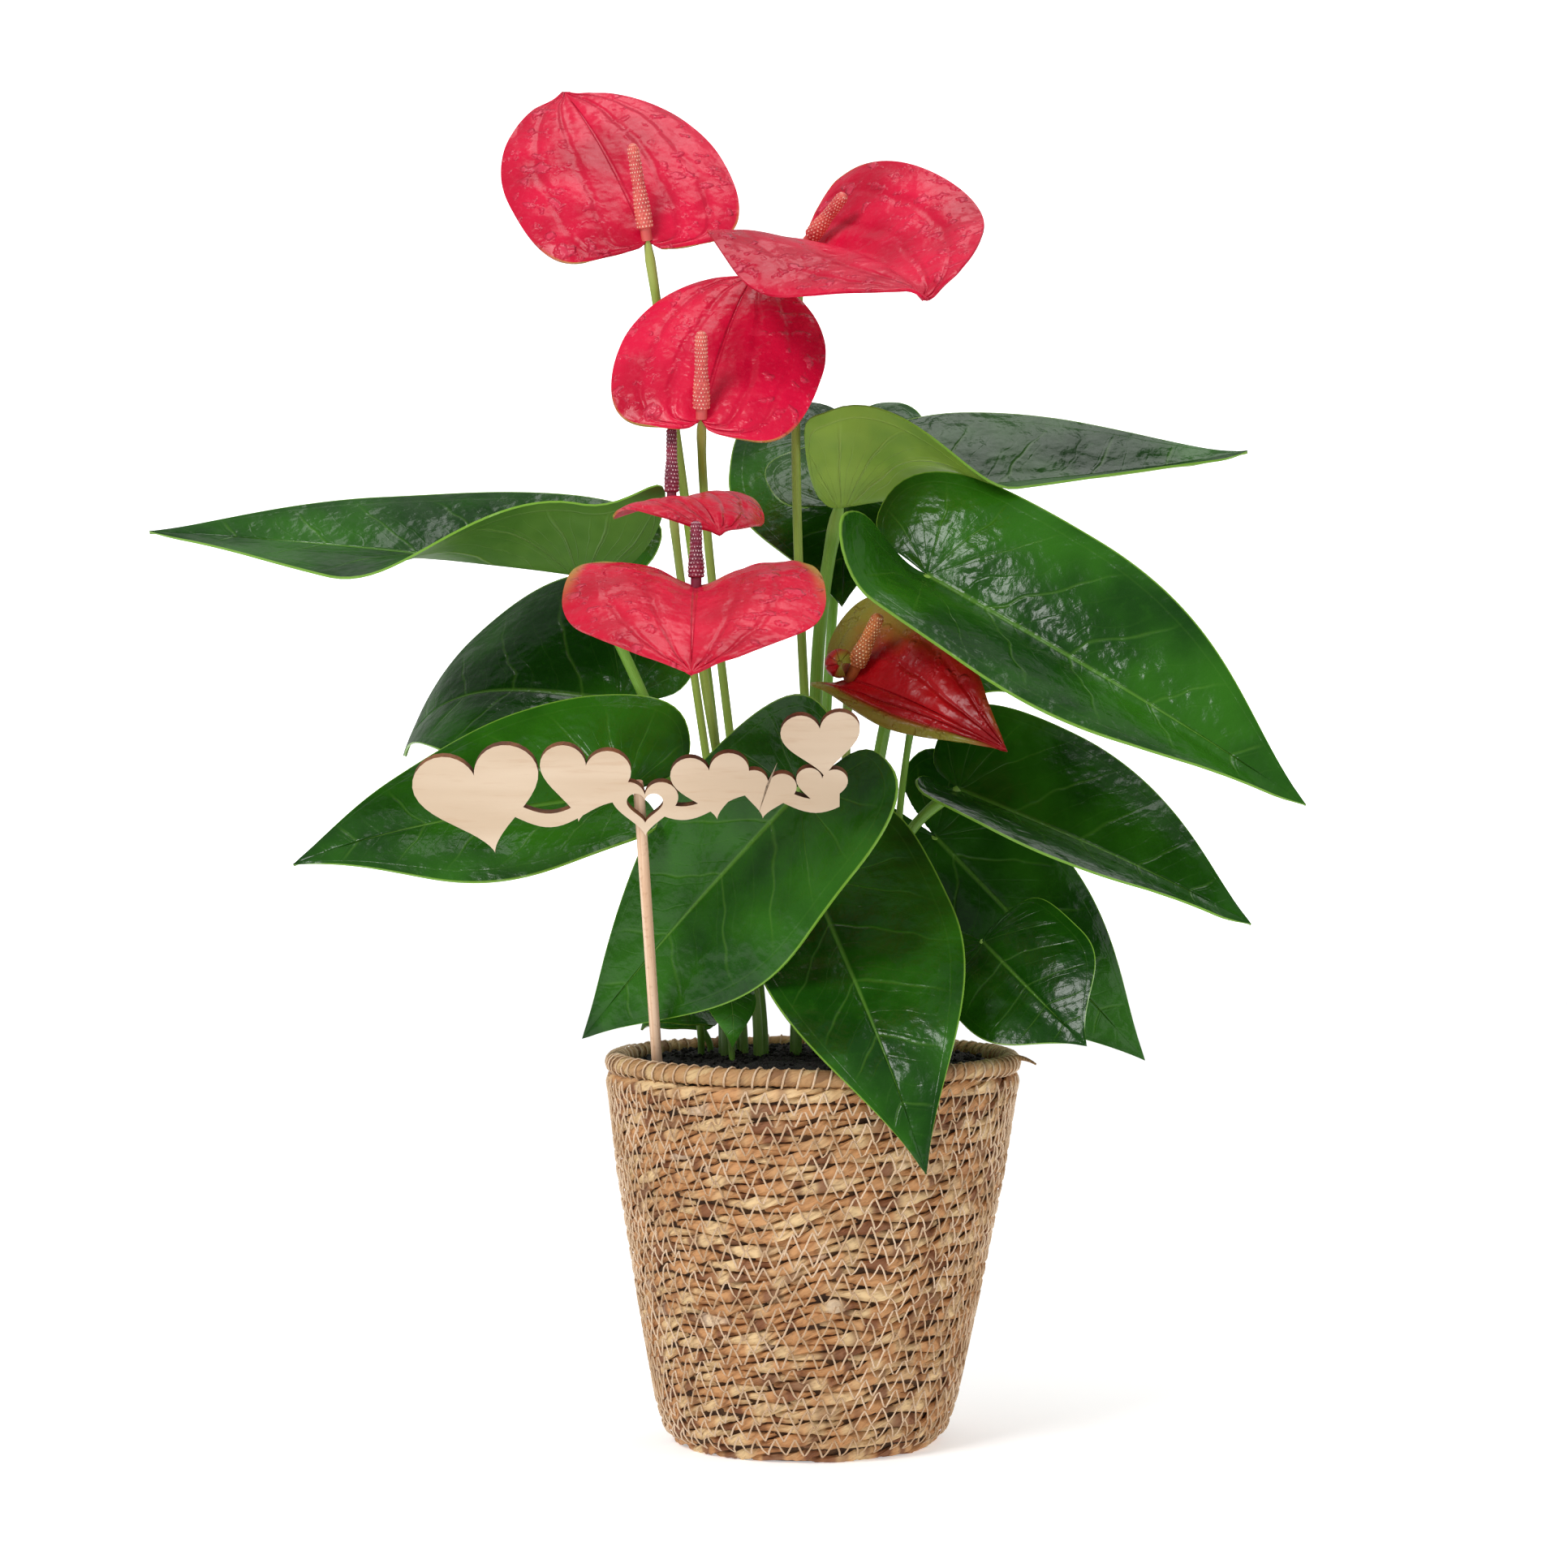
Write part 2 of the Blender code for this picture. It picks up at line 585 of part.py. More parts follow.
def flat_solid(name, outline, thickness):
    """An outline in the plate's own plane, drawn out to a thickness on both sides of it."""
    work = bmesh.new()
    face = work.faces.new([work.verts.new((x * MM, -thickness / 2 * MM, z * MM)) for x, z in outline])
    pushed = bmesh.ops.extrude_face_region(work, geom=[face])
    moved = [v for v in pushed["geom"] if isinstance(v, bmesh.types.BMVert)]
    bmesh.ops.translate(work, verts=moved, vec=(0, thickness * MM, 0))
    return mesh_of(name, work)


def ribbon_height(x):
    """The wavy ribbon's centre line, which climbs to the right."""
    return PLATE_CLIMB * x + RIBBON_SWING * math.sin(math.tau * (x - RIBBON_START) / RIBBON_PERIOD)


def add_pick(wood, burnt):
    """The pick: hearts on a wavy ribbon, cut from plywood, glued to a round stick that leans forward."""
    foot = mm(STICK_FOOT)
    top = mm(STICK_TOP)
    stick_axis = (top - foot).normalized()
    stick = bmesh.new()
    add_cone(stick, foot, top, STICK_RADIUS * MM, STICK_RADIUS * MM, STICK_SIDES)
    add_object("pick_stick", mesh_of("pick_stick", stick), wood)

    xs = [RIBBON_START + (RIBBON_END - RIBBON_START) * i / RIBBON_STEPS for i in range(RIBBON_STEPS + 1)]
    upper = [(x, ribbon_height(x) + RIBBON_WIDTH / 2) for x in xs]
    lower = [(x, ribbon_height(x) - RIBBON_WIDTH / 2) for x in xs]
    plate = add_object("pick_plate", flat_solid("pick_plate", upper + lower[::-1], PLATE_THICKNESS), burnt)
    lean = math.atan2(-stick_axis.y, stick_axis.z)
    front = Vector((0, -1, 0)) * (PLATE_THICKNESS / 2 + STICK_RADIUS + GAP) * MM
    place = Matrix.Translation(top - stick_axis * STICK_OVERLAP * MM) @ Matrix.Rotation(lean, 4, "X")
    place = place @ Matrix.Translation(front)
    plate.matrix_world = place
    for x, z, size, tilt in HEARTS:
        turn = Matrix.Rotation(math.radians(tilt), 4, "Y")
        heart = add_helper("heart", flat_solid("heart", heart_points(size, HEART_POINTS), PLATE_THICKNESS))
        heart.matrix_world = place @ Matrix.Translation(mm((x, 0, z))) @ turn
        boolean(plate, heart, "UNION")
    x, z, size = WINDOW
    window = add_helper("window", flat_solid("window", heart_points(size, WINDOW_POINTS), PLATE_THICKNESS + 2))
    window.matrix_world = place @ Matrix.Translation(mm((x, 0, z)))
    boolean(plate, window, "DIFFERENCE")
    return foot - stick_axis * 2 * MM, foot + stick_axis * 30 * MM, (STICK_RADIUS + GAP) * MM * HOLE_SPREAD


def main():
    clear_scene()
    leaf = material("leaf", (0.03, 0.13, 0.02), 0.3)
    petiole = material("petiole", (0.2, 0.4, 0.06), 0.45)
    spathe = material("spathe", (0.72, 0.03, 0.09), 0.25)
    olive = material("flower_stalk", (0.2, 0.26, 0.05), 0.45)
    salmon = material("spadix_salmon", (0.75, 0.2, 0.12), 0.5)
    purple = material("spadix_purple", (0.3, 0.03, 0.07), 0.5)
    orange = material("spadix_orange", (0.45, 0.13, 0.03), 0.5)
    seagrass = material("seagrass", (0.42, 0.27, 0.13), 0.75)
    pot_plastic = material("pot_plastic", (0.02, 0.02, 0.02), 0.5)
    earth = material("earth", (0.035, 0.022, 0.014), 0.95)
    birch = material("birch", (0.75, 0.56, 0.38), 0.6)
    spadix_finish = {"salmon": salmon, "purple": purple, "orange": orange}

    add_basket(seagrass)
    add_pot(pot_plastic)
    holes = [add_pick(birch, birch)]
    for blade in LEAVES:
        holes.append(add_blade(blade, leaf, petiole))
    for flower in FLOWERS:
        holes.append(add_blade(flower, spathe, olive))
        add_spadix(flower, spadix_finish[flower.spadix_color])
    add_soil(holes, earth)


main()
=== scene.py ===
"""Looks of the potted anthurium: leaves, spathes, stalks, woven basket, soil and pick, and a soft studio."""

import math
import random
from dataclasses import dataclass

import bpy
from mathutils import Matrix, Vector, noise


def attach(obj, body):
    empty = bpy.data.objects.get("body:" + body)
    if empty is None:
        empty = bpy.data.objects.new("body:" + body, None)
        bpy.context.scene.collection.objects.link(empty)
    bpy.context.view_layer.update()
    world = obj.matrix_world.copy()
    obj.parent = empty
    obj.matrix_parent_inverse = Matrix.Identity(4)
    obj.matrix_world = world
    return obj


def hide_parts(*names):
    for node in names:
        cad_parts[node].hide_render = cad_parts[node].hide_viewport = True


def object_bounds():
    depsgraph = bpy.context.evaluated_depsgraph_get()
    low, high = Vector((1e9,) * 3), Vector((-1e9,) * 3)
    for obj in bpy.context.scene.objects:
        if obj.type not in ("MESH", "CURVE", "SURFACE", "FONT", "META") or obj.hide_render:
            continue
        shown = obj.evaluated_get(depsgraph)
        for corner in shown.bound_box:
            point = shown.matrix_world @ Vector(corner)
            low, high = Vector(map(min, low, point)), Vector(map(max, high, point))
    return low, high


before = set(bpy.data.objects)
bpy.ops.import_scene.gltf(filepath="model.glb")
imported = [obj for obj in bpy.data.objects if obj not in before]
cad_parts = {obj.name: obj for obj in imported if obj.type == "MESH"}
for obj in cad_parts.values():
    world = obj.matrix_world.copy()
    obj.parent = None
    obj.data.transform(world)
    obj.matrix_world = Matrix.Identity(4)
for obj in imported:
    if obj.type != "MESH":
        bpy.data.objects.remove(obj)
cad_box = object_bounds()

MM = 0.001

# Camera: where it stood, how far it was tilted from straight up, and its lens
CAMERA_PLACE = (-0.0074, -1.350, 0.252)
CAMERA_TILT = 89.02
CAMERA_LENS = 88.88

# Basket
BASKET_HEIGHT = 137.0
BASKET_PROFILE = ((0.0, 44.0), (5.0, 49.0), (16.0, 52.3), (49.0, 58.7), (94.0, 66.9), (119.0, 70.2), (130.0, 72.0))
BASKET_LEAN = 2.8
ROPE_ROWS = 25
ROPE_LOW = 2.9
ROPE_HIGH = 126.6
ROPE_RADIUS = 2.9
STRAND_LIFT = 1.45  # from the rope's middle to that of a strand
STRAND_WIDE = 2.35
STRAND_THICK = 1.35
TWIST_LENGTH = 34.0
STEPS_PER_TURN = 11
STRAND_SIDES = 8
RIM_PLACE = (68.9, 132.3)
STITCH_WIDTH = 6.6
STITCH_REACH = 3.7
RIM_STITCHES = 88
THREAD_RADIUS = 0.35
BASKET_FLOOR = 6.0

# Soil in the nursery pot
SOIL_TOP = 132.0
SOIL_RISE = 3.0
SOIL_RADIUS = 62.0
CRUMBS = 620
SPECKS = 70

# Plant
BLADE_THICKNESS = 0.8
SPATHE_THICKNESS = 0.9
CREASE = 6.0
SECTION_STEPS = 8
ROOT_DEPTH = 14.0
STEM_SIDES = 14
STEM_STEPS = 44
LEAF_GRID = (44, 60)
SPATHE_GRID = (64, 84)
YOUNG_GRID = (20, 30)
YOUNG_HALF = 15.0
LEAF_VEINS = 9.0  # side veins on each half
SPATHE_VEINS = 3.0  # arching veins on each half
SPADIX_GRID = (84, 160)
FLORETS_AROUND = 14
FLORET_LENGTH = 1.35
# The leaf whose underside takes a paler copy of the underside finish: painted light.
LIT_UNDERSIDE = "leaf_upper_right"
CURLED = "flower_right_low"
CURL_PLACE = (11.6, -25.0, 270.6)
CURL_SIZE = 4.6

# Pick
STICK_RADIUS = 1.85
STICK_FOOT = (-50.0, -23.5, 120.0)
STICK_TOP = (-55.4, -75.0, 231.0)
STICK_OVERLAP = 6.0
PLATE_THICKNESS = 3.0
PLATE_GAP = 0.3
PLATE_CLIMB = 0.06
RIBBON_START = -62.0
RIBBON_END = 66.0
RIBBON_WIDTH = 5.0
RIBBON_SWING = 4.0
RIBBON_PERIOD = 44.0
HEARTS = (
    # across, up, width, tilt
    (-52.0, 2.0, 42.0, -12.0),
    (-18.0, 8.0, 30.0, 8.0),
    (2.0, -1.0, 22.0, 0.0),
    (24.0, 7.0, 26.0, -8.0),
    (42.0, 4.0, 19.0, 8.0),
    (60.0, 22.0, 26.0, -6.0),
    (60.0, 6.0, 17.0, 4.0),
)
WINDOW = (2.0, -1.0, 12.0)


@dataclass
class Blade:
    """A heart-shaped blade. Left and right are as seen looking from the stalk to the tip, upper face up."""

    name: str
    junction: tuple
    tip: tuple
    half: tuple  # left and right half widths
    roll: float = 0.0  # turn about the line to the tip, from facing up
    fold: tuple = (10.0, 10.0)  # rise of each half near the stalk
    fold_tip: tuple = (5.0, 5.0)  # and near the tip
    fold_rate: float = 1.5  # how soon along the rib the fold changes into that of the tip
    curl: tuple = (-25.0, -25.0)  # turn of each half from rib to edge
    arch: tuple = (6.0, 6.0)  # rise of the rib at a third and at two thirds
    lobe: tuple = (0.24, 0.24)  # lobes behind the stalk, as a share of the length
    lift: tuple = (0.0, 0.0)  # rise of the lobes' ends
    belly: float = 0.24  # where along the rib the blade is widest
    full: float = 0.0  # 0 for a pointed tip, 1 for a round one
    root: tuple = (0.0, 0.0)
    bend: tuple = (0.0, 0.0, 0.0)  # the stalk's last control point
    stalk: float = 1.9
    rise: float = 0.4  # how far up the stalk leaves the upright


@dataclass
class Flower(Blade):
    belly: float = 0.36
    full: float = 1.0
    spadix: tuple = (0.0, 0.0, 40.0)  # from the junction to the spadix's end
    spadix_radius: float = 2.9
    boss: float = 3.4  # length of the short foot that carries the spadix
    spadix_color: str = "salmon"


LEAVES = [
    Blade("leaf_upper_right", (12, 17, 326.5), (159, 42, 347.5), (44, 44), roll=25, fold=(18, 94), fold_tip=(26, 30),
          fold_rate=2.8, curl=(-15, -15), arch=(2, -3), lobe=(0.14, 0.07), lift=(0, 6),
          root=(4, 3), bend=(7, 15, 302), stalk=2.3),
    Blade("leaf_right_large", (42, -19, 301), (166, -64, 223), (42, 46), roll=50, fold=(30, 50), fold_tip=(22, 42),
          arch=(2, 4), lobe=(0.2, 0.14), lift=(-6, 24), belly=0.28, root=(15, 8), bend=(35, 0, 280), stalk=2.2),
    Blade("leaf_back", (17, 78, 356), (13, 15, 291), (30, 44), roll=0, fold=(10, 10), arch=(4, 4), lobe=(0.24, 0.24),
          root=(3, 18), bend=(14, 80, 330), stalk=1.8),
    Blade("leaf_left_long", (-76.6, 2, 302), (-232.9, 27, 318), (41, 40), roll=-30, fold=(80, 24), fold_tip=(18, 12),
          fold_rate=1.9, curl=(-15, -15), arch=(2, 2), lobe=(0.18, 0.14), lift=(22, 0),
          root=(-31, 6), bend=(-67, 10, 282), stalk=1.9),
    Blade("leaf_left_upper", (-65.4, 26, 257.6), (-146, 64, 238), (42, 54), roll=-42, fold=(0, 25), curl=(-10, -10),
          arch=(12, 26), lobe=(0.1, 0.24), root=(-29, 14), bend=(-54, 26, 240), stalk=1.8),
    Blade("leaf_left_lower", (-62.6, -14, 226), (-174, -36, 202), (36, 42), roll=-42, fold=(32, 30), arch=(2, 8),
          lobe=(0.05, 0.24), root=(-30, -8), bend=(-48, -9, 212), stalk=1.9),
    Blade("leaf_front_left", (-2.2, -52, 227.5), (-77, -12, 141), (43, 31), roll=-86, fold=(24, 30), curl=(-10, -10),
          arch=(3, 4), lobe=(0.26, 0.22), root=(-6, -9), bend=(0, -10, 240), stalk=2.0),
    Blade("leaf_front", (2, -24, 197), (39, -88, 103), (41, 29), roll=28, fold=(0, 0), curl=(0, 0), arch=(0, 18),
          lobe=(0.2, 0.08), root=(4, -16), bend=(1, -15, 184), stalk=1.9),
    Blade("leaf_right_middle", (53.7, 5, 227), (152, -30, 181.5), (38, 36), roll=45, fold=(28, 58), fold_tip=(15, 50),
          arch=(2, 4), lobe=(0.14, 0.06), lift=(0, 4), root=(22, -1), bend=(42, 3, 219), stalk=1.9),
    Blade("leaf_right_back", (46, 20, 210), (120, 15, 131), (31, 34), roll=75, fold=(5, 5), arch=(3, 4),
          root=(17, 17), bend=(42, 28, 202), stalk=1.7),
    Blade("leaf_right_small", (61, -20, 175), (94, -55, 142), (27, 25), roll=62, fold=(2, 32), fold_tip=(2, 32),
          belly=0.42, arch=(3, 4), lobe=(0.03, 0.24), root=(22, -8), bend=(56, -4, 168), stalk=1.4),
    Blade("leaf_young_back", (-38, 18, 150), (-58, 24, 141), (12, 12), roll=-40, root=(-36, 13),
          bend=(-37, 15, 145), stalk=1.1),
    Blade("leaf_young_left", (-38, -4, 153), (-56, -10, 145), (12, 12), roll=-40, root=(-39, 0),
          bend=(-37, -2, 147), stalk=1.2),
    Blade("leaf_young_front", (-27, -27, 160), (-25, -37, 140), (9, 9), roll=0, root=(-28, -21),
          bend=(-27, -23, 152), stalk=1.1),
    Blade("leaf_young_pale", (38.5, -4, 258), (70, -10, 261), (10, 10), roll=40, root=(28, -12),
          bend=(36.5, -4, 247), stalk=1.2),
]

FLOWERS = [
    Flower("flower_top_left", (-55, 0, 418), (-87, 55, 478), (40, 40), roll=-20, lobe=(0.04, 0.08),
           root=(-25, 8), bend=(-51, 4, 392), stalk=1.6, rise=0.15, boss=4.4, spadix=(-5, -6, 33)),
    Flower("flower_middle", (-35.2, -42, 352.8), (-18, 4, 406.5), (36, 36), roll=13, lobe=(0.08, 0.08),
           root=(-17, -5), bend=(-36, -12, 334), stalk=1.5, rise=0.15, spadix=(0, -8, 29)),
    Flower("flower_top_right", (-1.5, -2, 414.6), (38.5, -76, 389.4), (45, 47), roll=-28, fold=(98, -12),
           fold_tip=(72, -38), lobe=(0.08, 0.08), root=(4, -6), bend=(-3, 1, 390), stalk=1.6, rise=0.15,
           boss=7.0, spadix=(15, -17, 17)),
    Flower("flower_back_small", (-45.5, -35, 325.2), (-28.6, -73, 312.3), (27, 26), roll=0, fold=(30, -8),
           curl=(-45, -20), lobe=(0.1, 0.1), root=(-24, -2), bend=(-43.5, -22, 304), stalk=1.4, rise=0.15,
           spadix=(0, 0, 26), spadix_radius=2.5, spadix_color="purple"),
    Flower("flower_front", (-36.2, -80, 294.6), (-36.3, -144, 265.4), (43, 43), roll=0, fold=(34, 34),
           fold_tip=(20, 20), curl=(-45, -45), lobe=(0.1, 0.1), root=(-19, -10), bend=(-36.2, -38, 264), stalk=1.6,
           rise=0.3, spadix=(0, 0, 22), spadix_radius=2.7, spadix_color="purple"),
    Flower("flower_right_low", (14.9, -22, 265), (67, -57, 241), (36, 15), roll=60, fold=(14, 72), lobe=(0.28, 0.06),
           belly=0.12, full=0.0, root=(12, -4), bend=(14.2, -10, 249), stalk=1.5, rise=0.15, boss=7.0,
           spadix=(10, -15, 22), spadix_radius=3.2, spadix_color="orange"),
]


def mm(values):
    """A point given in millimetres, as a vector in metres."""
    return Vector(values) * MM


def smooth(t):
    t = min(1.0, max(0.0, t))
    return t * t * (3 - 2 * t)


def bezier(points, t):
    """A point on the cubic through four control points."""
    s = 1 - t
    weights = (s * s * s, 3 * s * s * t, 3 * s * t * t, t * t * t)
    return sum((w * p for w, p in zip(weights, points)), points[0] * 0)


def lean_at(z):
    return BASKET_LEAN * z / BASKET_HEIGHT


def srgb(red, green, blue):
    """A screen colour from 0 to 255, as the linear colour that a shader takes."""
    def linear(value):
        value /= 255
        return value / 12.92 if value <= 0.04045 else ((value + 0.055) / 1.055) ** 2.4

    return (linear(red), linear(green), linear(blue), 1.0)


class Wire:
    """A value in a shader. Arithmetic on it adds Math nodes."""

    def __init__(self, finish, socket):
        self.finish = finish
        self.socket = socket

    def math(self, operation, *values):
        node = self.finish.tree.nodes.new("ShaderNodeMath")
        node.operation = operation
        for socket, value in zip(node.inputs, values):
            self.finish.feed(socket, value)
        return Wire(self.finish, node.outputs[0])

    def __add__(self, other):
        return self.math("ADD", self, other)

    def __radd__(self, other):
        return self.math("ADD", other, self)

    def __sub__(self, other):
        return self.math("SUBTRACT", self, other)

    def __rsub__(self, other):
        return self.math("SUBTRACT", other, self)

    def __mul__(self, other):
        return self.math("MULTIPLY", self, other)

    def __rmul__(self, other):
        return self.math("MULTIPLY", other, self)

    def __truediv__(self, other):
        return self.math("DIVIDE", self, other)

    def __pow__(self, other):
        return self.math("POWER", self, other)

    def __abs__(self):
        return self.math("ABSOLUTE", self)

    def __mod__(self, other):
        return self.math("FLOORED_MODULO", self, other)

    def floor(self):
        return self.math("FLOOR", self)

    def lowest(self, other):
        return self.math("MINIMUM", self, other)

    def highest(self, other):
        return self.math("MAXIMUM", self, other)

    def rise(self, low, high):
        """0 below low, 1 above high, and a soft step between them, or falling if low is above high."""
        return self.finish.node("ShaderNodeMapRange", {"interpolation_type": "SMOOTHSTEP"},
                                {"Value": self, "From Min": low, "From Max": high})

    def line(self, width):
        """1 where the value is whole, and 0 from half a width away from that."""
        away = abs((self + 0.5) % 1.0 - 0.5)
        return away.rise(width / 2, 0.0)


class Finish:
    """A material with nodes, and the means to add to it."""

    def __init__(self, name, roughness=0.5, coat=0.0):
        self.material = bpy.data.materials.new(name)
        self.material.use_nodes = True
        self.tree = self.material.node_tree
        self.shader = self.tree.nodes["Principled BSDF"]
        self.shader.inputs["Roughness"].default_value = roughness
        self.shader.inputs["Coat Weight"].default_value = coat
        self.shader.inputs["Coat Roughness"].default_value = 0.2
        self.place = self.node("ShaderNodeTexCoord", output="Object")

    def feed(self, socket, value):
        if isinstance(value, Wire):
            self.tree.links.new(value.socket, socket)
        else:
            socket.default_value = value

    def node(self, kind, settings=None, inputs=None, output=0):
        """Adds any node: its settings first, then its inputs by name, and gives one output."""
        node = self.tree.nodes.new(kind)
        for key, value in (settings or {}).items():
            setattr(node, key, value)
        for key, value in (inputs or {}).items():
            self.feed(node.inputs[key], value)
        return Wire(self, node.outputs[output])

    def uv(self):
        """The piece's own two coordinates, as two values."""
        both = self.node("ShaderNodeUVMap", {"uv_map": "UVMap"})
        parts = self.tree.nodes.new("ShaderNodeSeparateXYZ")
        self.feed(parts.inputs[0], both)
        return Wire(self, parts.outputs[0]), Wire(self, parts.outputs[1])

    def height(self):
        """How high a point lies, in metres."""
        parts = self.tree.nodes.new("ShaderNodeSeparateXYZ")
        self.feed(parts.inputs[0], self.place)
        return Wire(self, parts.outputs[2])

    def vector(self, x, y, z):
        return self.node("ShaderNodeCombineXYZ", inputs={"X": x, "Y": y, "Z": z})

    def cloud(self, scale, detail=3.0, where=None, roughness=0.55):
        """Soft noise around 0.5."""
        return self.node("ShaderNodeTexNoise", inputs={
            "Vector": where or self.place, "Scale": scale, "Detail": detail, "Roughness": roughness})

    def cells(self, scale, where=None):
        """Distance to the nearest of scattered points."""
        return self.node("ShaderNodeTexVoronoi", inputs={"Vector": where or self.place, "Scale": scale})

    def mix(self, share, first, second):
        node = self.tree.nodes.new("ShaderNodeMix")
        node.data_type = "RGBA"
        for index, value in ((0, share), (6, first), (7, second)):
            self.feed(node.inputs[index], value)
        return Wire(self, node.outputs[2])

    def set(self, name, value):
        self.feed(self.shader.inputs[name], value)

    def bump(self, height, distance, strength=1.0, over=None):
        """Relief of the given depth in metres, on top of another relief if there is one."""
        inputs = {"Height": height, "Distance": distance, "Strength": strength}
        if over:
            inputs["Normal"] = over
        normal = self.node("ShaderNodeBump", inputs=inputs)
        self.set("Normal", normal)
        return normal


def leaf_veins(finish):
    """Distance from the rib as a share of the half width, and masks of the side veins, edge vein and rib."""
    s, t = finish.uv()
    away = abs(s * 2 - 1)
    wobble = (finish.cloud(38.0, 2.0) - 0.5) * 0.55
    side = (t * LEAF_VEINS + wobble).line(0.09) * away.rise(1.0, 0.5)
    minor = (t * (LEAF_VEINS * 2.6) + wobble * 3).line(0.12) * away.rise(0.95, 0.4)
    edge_vein = abs(away - 0.88).rise(0.014, 0.0)
    rib = away.rise(0.04, 0.008)
    return away, side, minor, edge_vein, rib


def leaf_finish(name, dark, light, vein, margin):
    """The leathery, glossy upper face of a leaf: dark, quilted, with paler veins and a thin pale edge."""
    finish = Finish(name)
    finish.set("Specular IOR Level", 0.24)
    away, side, minor, edge_vein, rib = leaf_veins(finish)
    blade = finish.mix(finish.cloud(17.0, 3.0).rise(0.36, 0.66), dark, light)
    mottled = finish.mix(finish.cloud(330.0, 3.0).rise(0.5, 0.8) * 0.22, blade, light)
    veined = finish.mix((side * 0.2 + minor * 0.04 + edge_vein * 0.06).lowest(1.0), mottled, vein)
    ribbed = finish.mix(rib * 0.5, veined, vein)
    finish.set("Base Color", finish.mix(away.rise(0.982, 0.996), ribbed, margin))
    finish.set("Roughness", 0.13 + finish.cloud(70.0, 3.0) * 0.18)
    swells = finish.cloud(95.0, 2.0, roughness=0.5)
    wrinkles = finish.cloud(420.0, 2.0)
    soft = finish.bump(swells * 1.6 - side * 0.16 - minor * 0.05 - edge_vein * 0.05 - rib * 0.4, 0.0012, 0.7)
    finish.bump(wrinkles, 0.00025, 0.8, soft)
    return finish.material


def underside_finish(name, base, deep, vein):
    """The matte underside, where the veins stand out."""
    finish = Finish(name, roughness=0.55)
    away, side, minor, edge_vein, rib = leaf_veins(finish)
    blade = finish.mix(finish.cloud(30.0, 3.0).rise(0.34, 0.7), deep, base)
    veined = finish.mix((side * 0.4 + minor * 0.15 + edge_vein * 0.2 + rib * 0.8).lowest(1.0), blade, vein)
    finish.set("Base Color", veined)
    finish.set("Roughness", 0.42 + finish.cloud(120.0, 2.0) * 0.2)
    finish.bump(side + minor * 0.3 + rib * 1.6 + edge_vein * 0.5 + finish.cloud(110.0, 2.0), 0.0007, 0.7)
    return finish.material


def spathe_finish(name, deep, bright, pale, tint, tinted):
    """Glossy, puckered spathe: painted shade deepens the creases and the rib, painted highlights pale the crests, a
    faint glow stands in for light through it, and there is a tint near the foot or the edge.
    """
    finish = Finish(name, coat=0.02)
    finish.set("Specular IOR Level", 0.2)
    # Painted light: a faint glow in the spathe's own bright colour stands in for light shining through it.
    finish.set("Emission Strength", 0.07)
    finish.set("Emission Color", bright)
    s, t = finish.uv()
    away = abs(s * 2 - 1)
    wobble = (finish.cloud(40.0, 2.0) - 0.5) * 0.6
    creases = (away * SPATHE_VEINS + wobble).line(0.4) * away.rise(0.03, 0.2) * away.rise(0.96, 0.6)
    rib = away.rise(0.03, 0.006)
    puckers = finish.cloud(120.0, 2.0, roughness=0.45)
    base = finish.mix(finish.cloud(30.0, 2.0).rise(0.3, 0.7), deep, bright)
    # Painted shade: the creases and the rib are darkened towards the deep colour.
    crease_shaded = finish.mix((creases * 0.26 + rib * 0.4).lowest(1.0), base, deep)
    crests = finish.cloud(210.0, 2.0, roughness=0.45).rise(0.55, 0.72) * away.rise(0.1, 0.7)
    # Painted highlights: the crests and fine specks are paled towards the pale colour.
    lit = finish.mix((crests * 0.16 + finish.cloud(700.0, 2.0).rise(0.55, 0.75) * 0.08).lowest(1.0), crease_shaded, pale)
    finish.set("Base Color", finish.mix(tinted(away, s, t, finish), lit, tint))
    finish.set("Roughness", 0.18 + finish.cloud(230.0, 2.0) * 0.2)
    soft = finish.bump(puckers + crests * 0.6 - creases * 0.3 - rib * 0.3, 0.0016, 0.9)
    finish.bump(finish.cloud(900.0, 2.0), 0.00014, 0.6, soft)
    return finish.material


def edge_tint(away, s, t, finish):
    """The thin green edge of the two lobes."""
    return away.rise(0.96, 0.99) * t.rise(0.34, 0.12) * 0.75


def foot_tint(away, s, t, finish):
    """Green that spreads over the lobes' edges next to the stalk."""
    return away.rise(0.86, 0.99) * t.rise(0.56, 0.3) * 0.7


def shade_tint(away, s, t, finish):
    """The half that was in shade stays green, and so does the edge of the other half."""
    drift = (finish.cloud(45.0, 3.0) - 0.5) * 0.5
    edge = s.rise(0.8, 0.92) * t.rise(0.98, 0.8)
    return ((s + drift + t * 0.7).rise(0.72, 0.3) * 0.9).highest(edge * 0.85)


def stem_finish(name, low, high, neck):
    """Smooth stalk: its colour changes on the way up, with fine lines along it and a paler joint under the blade."""
    finish = Finish(name, roughness=0.4, coat=0.1)
    s, t = finish.uv()
    drift = (finish.cloud(30.0, 2.0) - 0.5) * 0.4
    body = finish.mix((t + drift).rise(0.1, 0.9), low, high)
    lines = finish.cloud(1.0, 2.0, finish.vector(s * 26.0, t * 3.0, 0.0)).rise(0.4, 0.65)
    streaked = finish.mix(lines * 0.18, body, neck)
    flecks = finish.cloud(900.0, 1.0).rise(0.66, 0.74)
    finish.set("Base Color", finish.mix((t.rise(0.93, 0.965) * 0.6 + flecks * 0.2).lowest(1.0), streaked, neck))
    finish.set("Roughness", 0.34 + finish.cloud(200.0, 2.0) * 0.2)
    finish.bump(lines + flecks * 0.5, 0.00012, 0.6)
    return finish.material


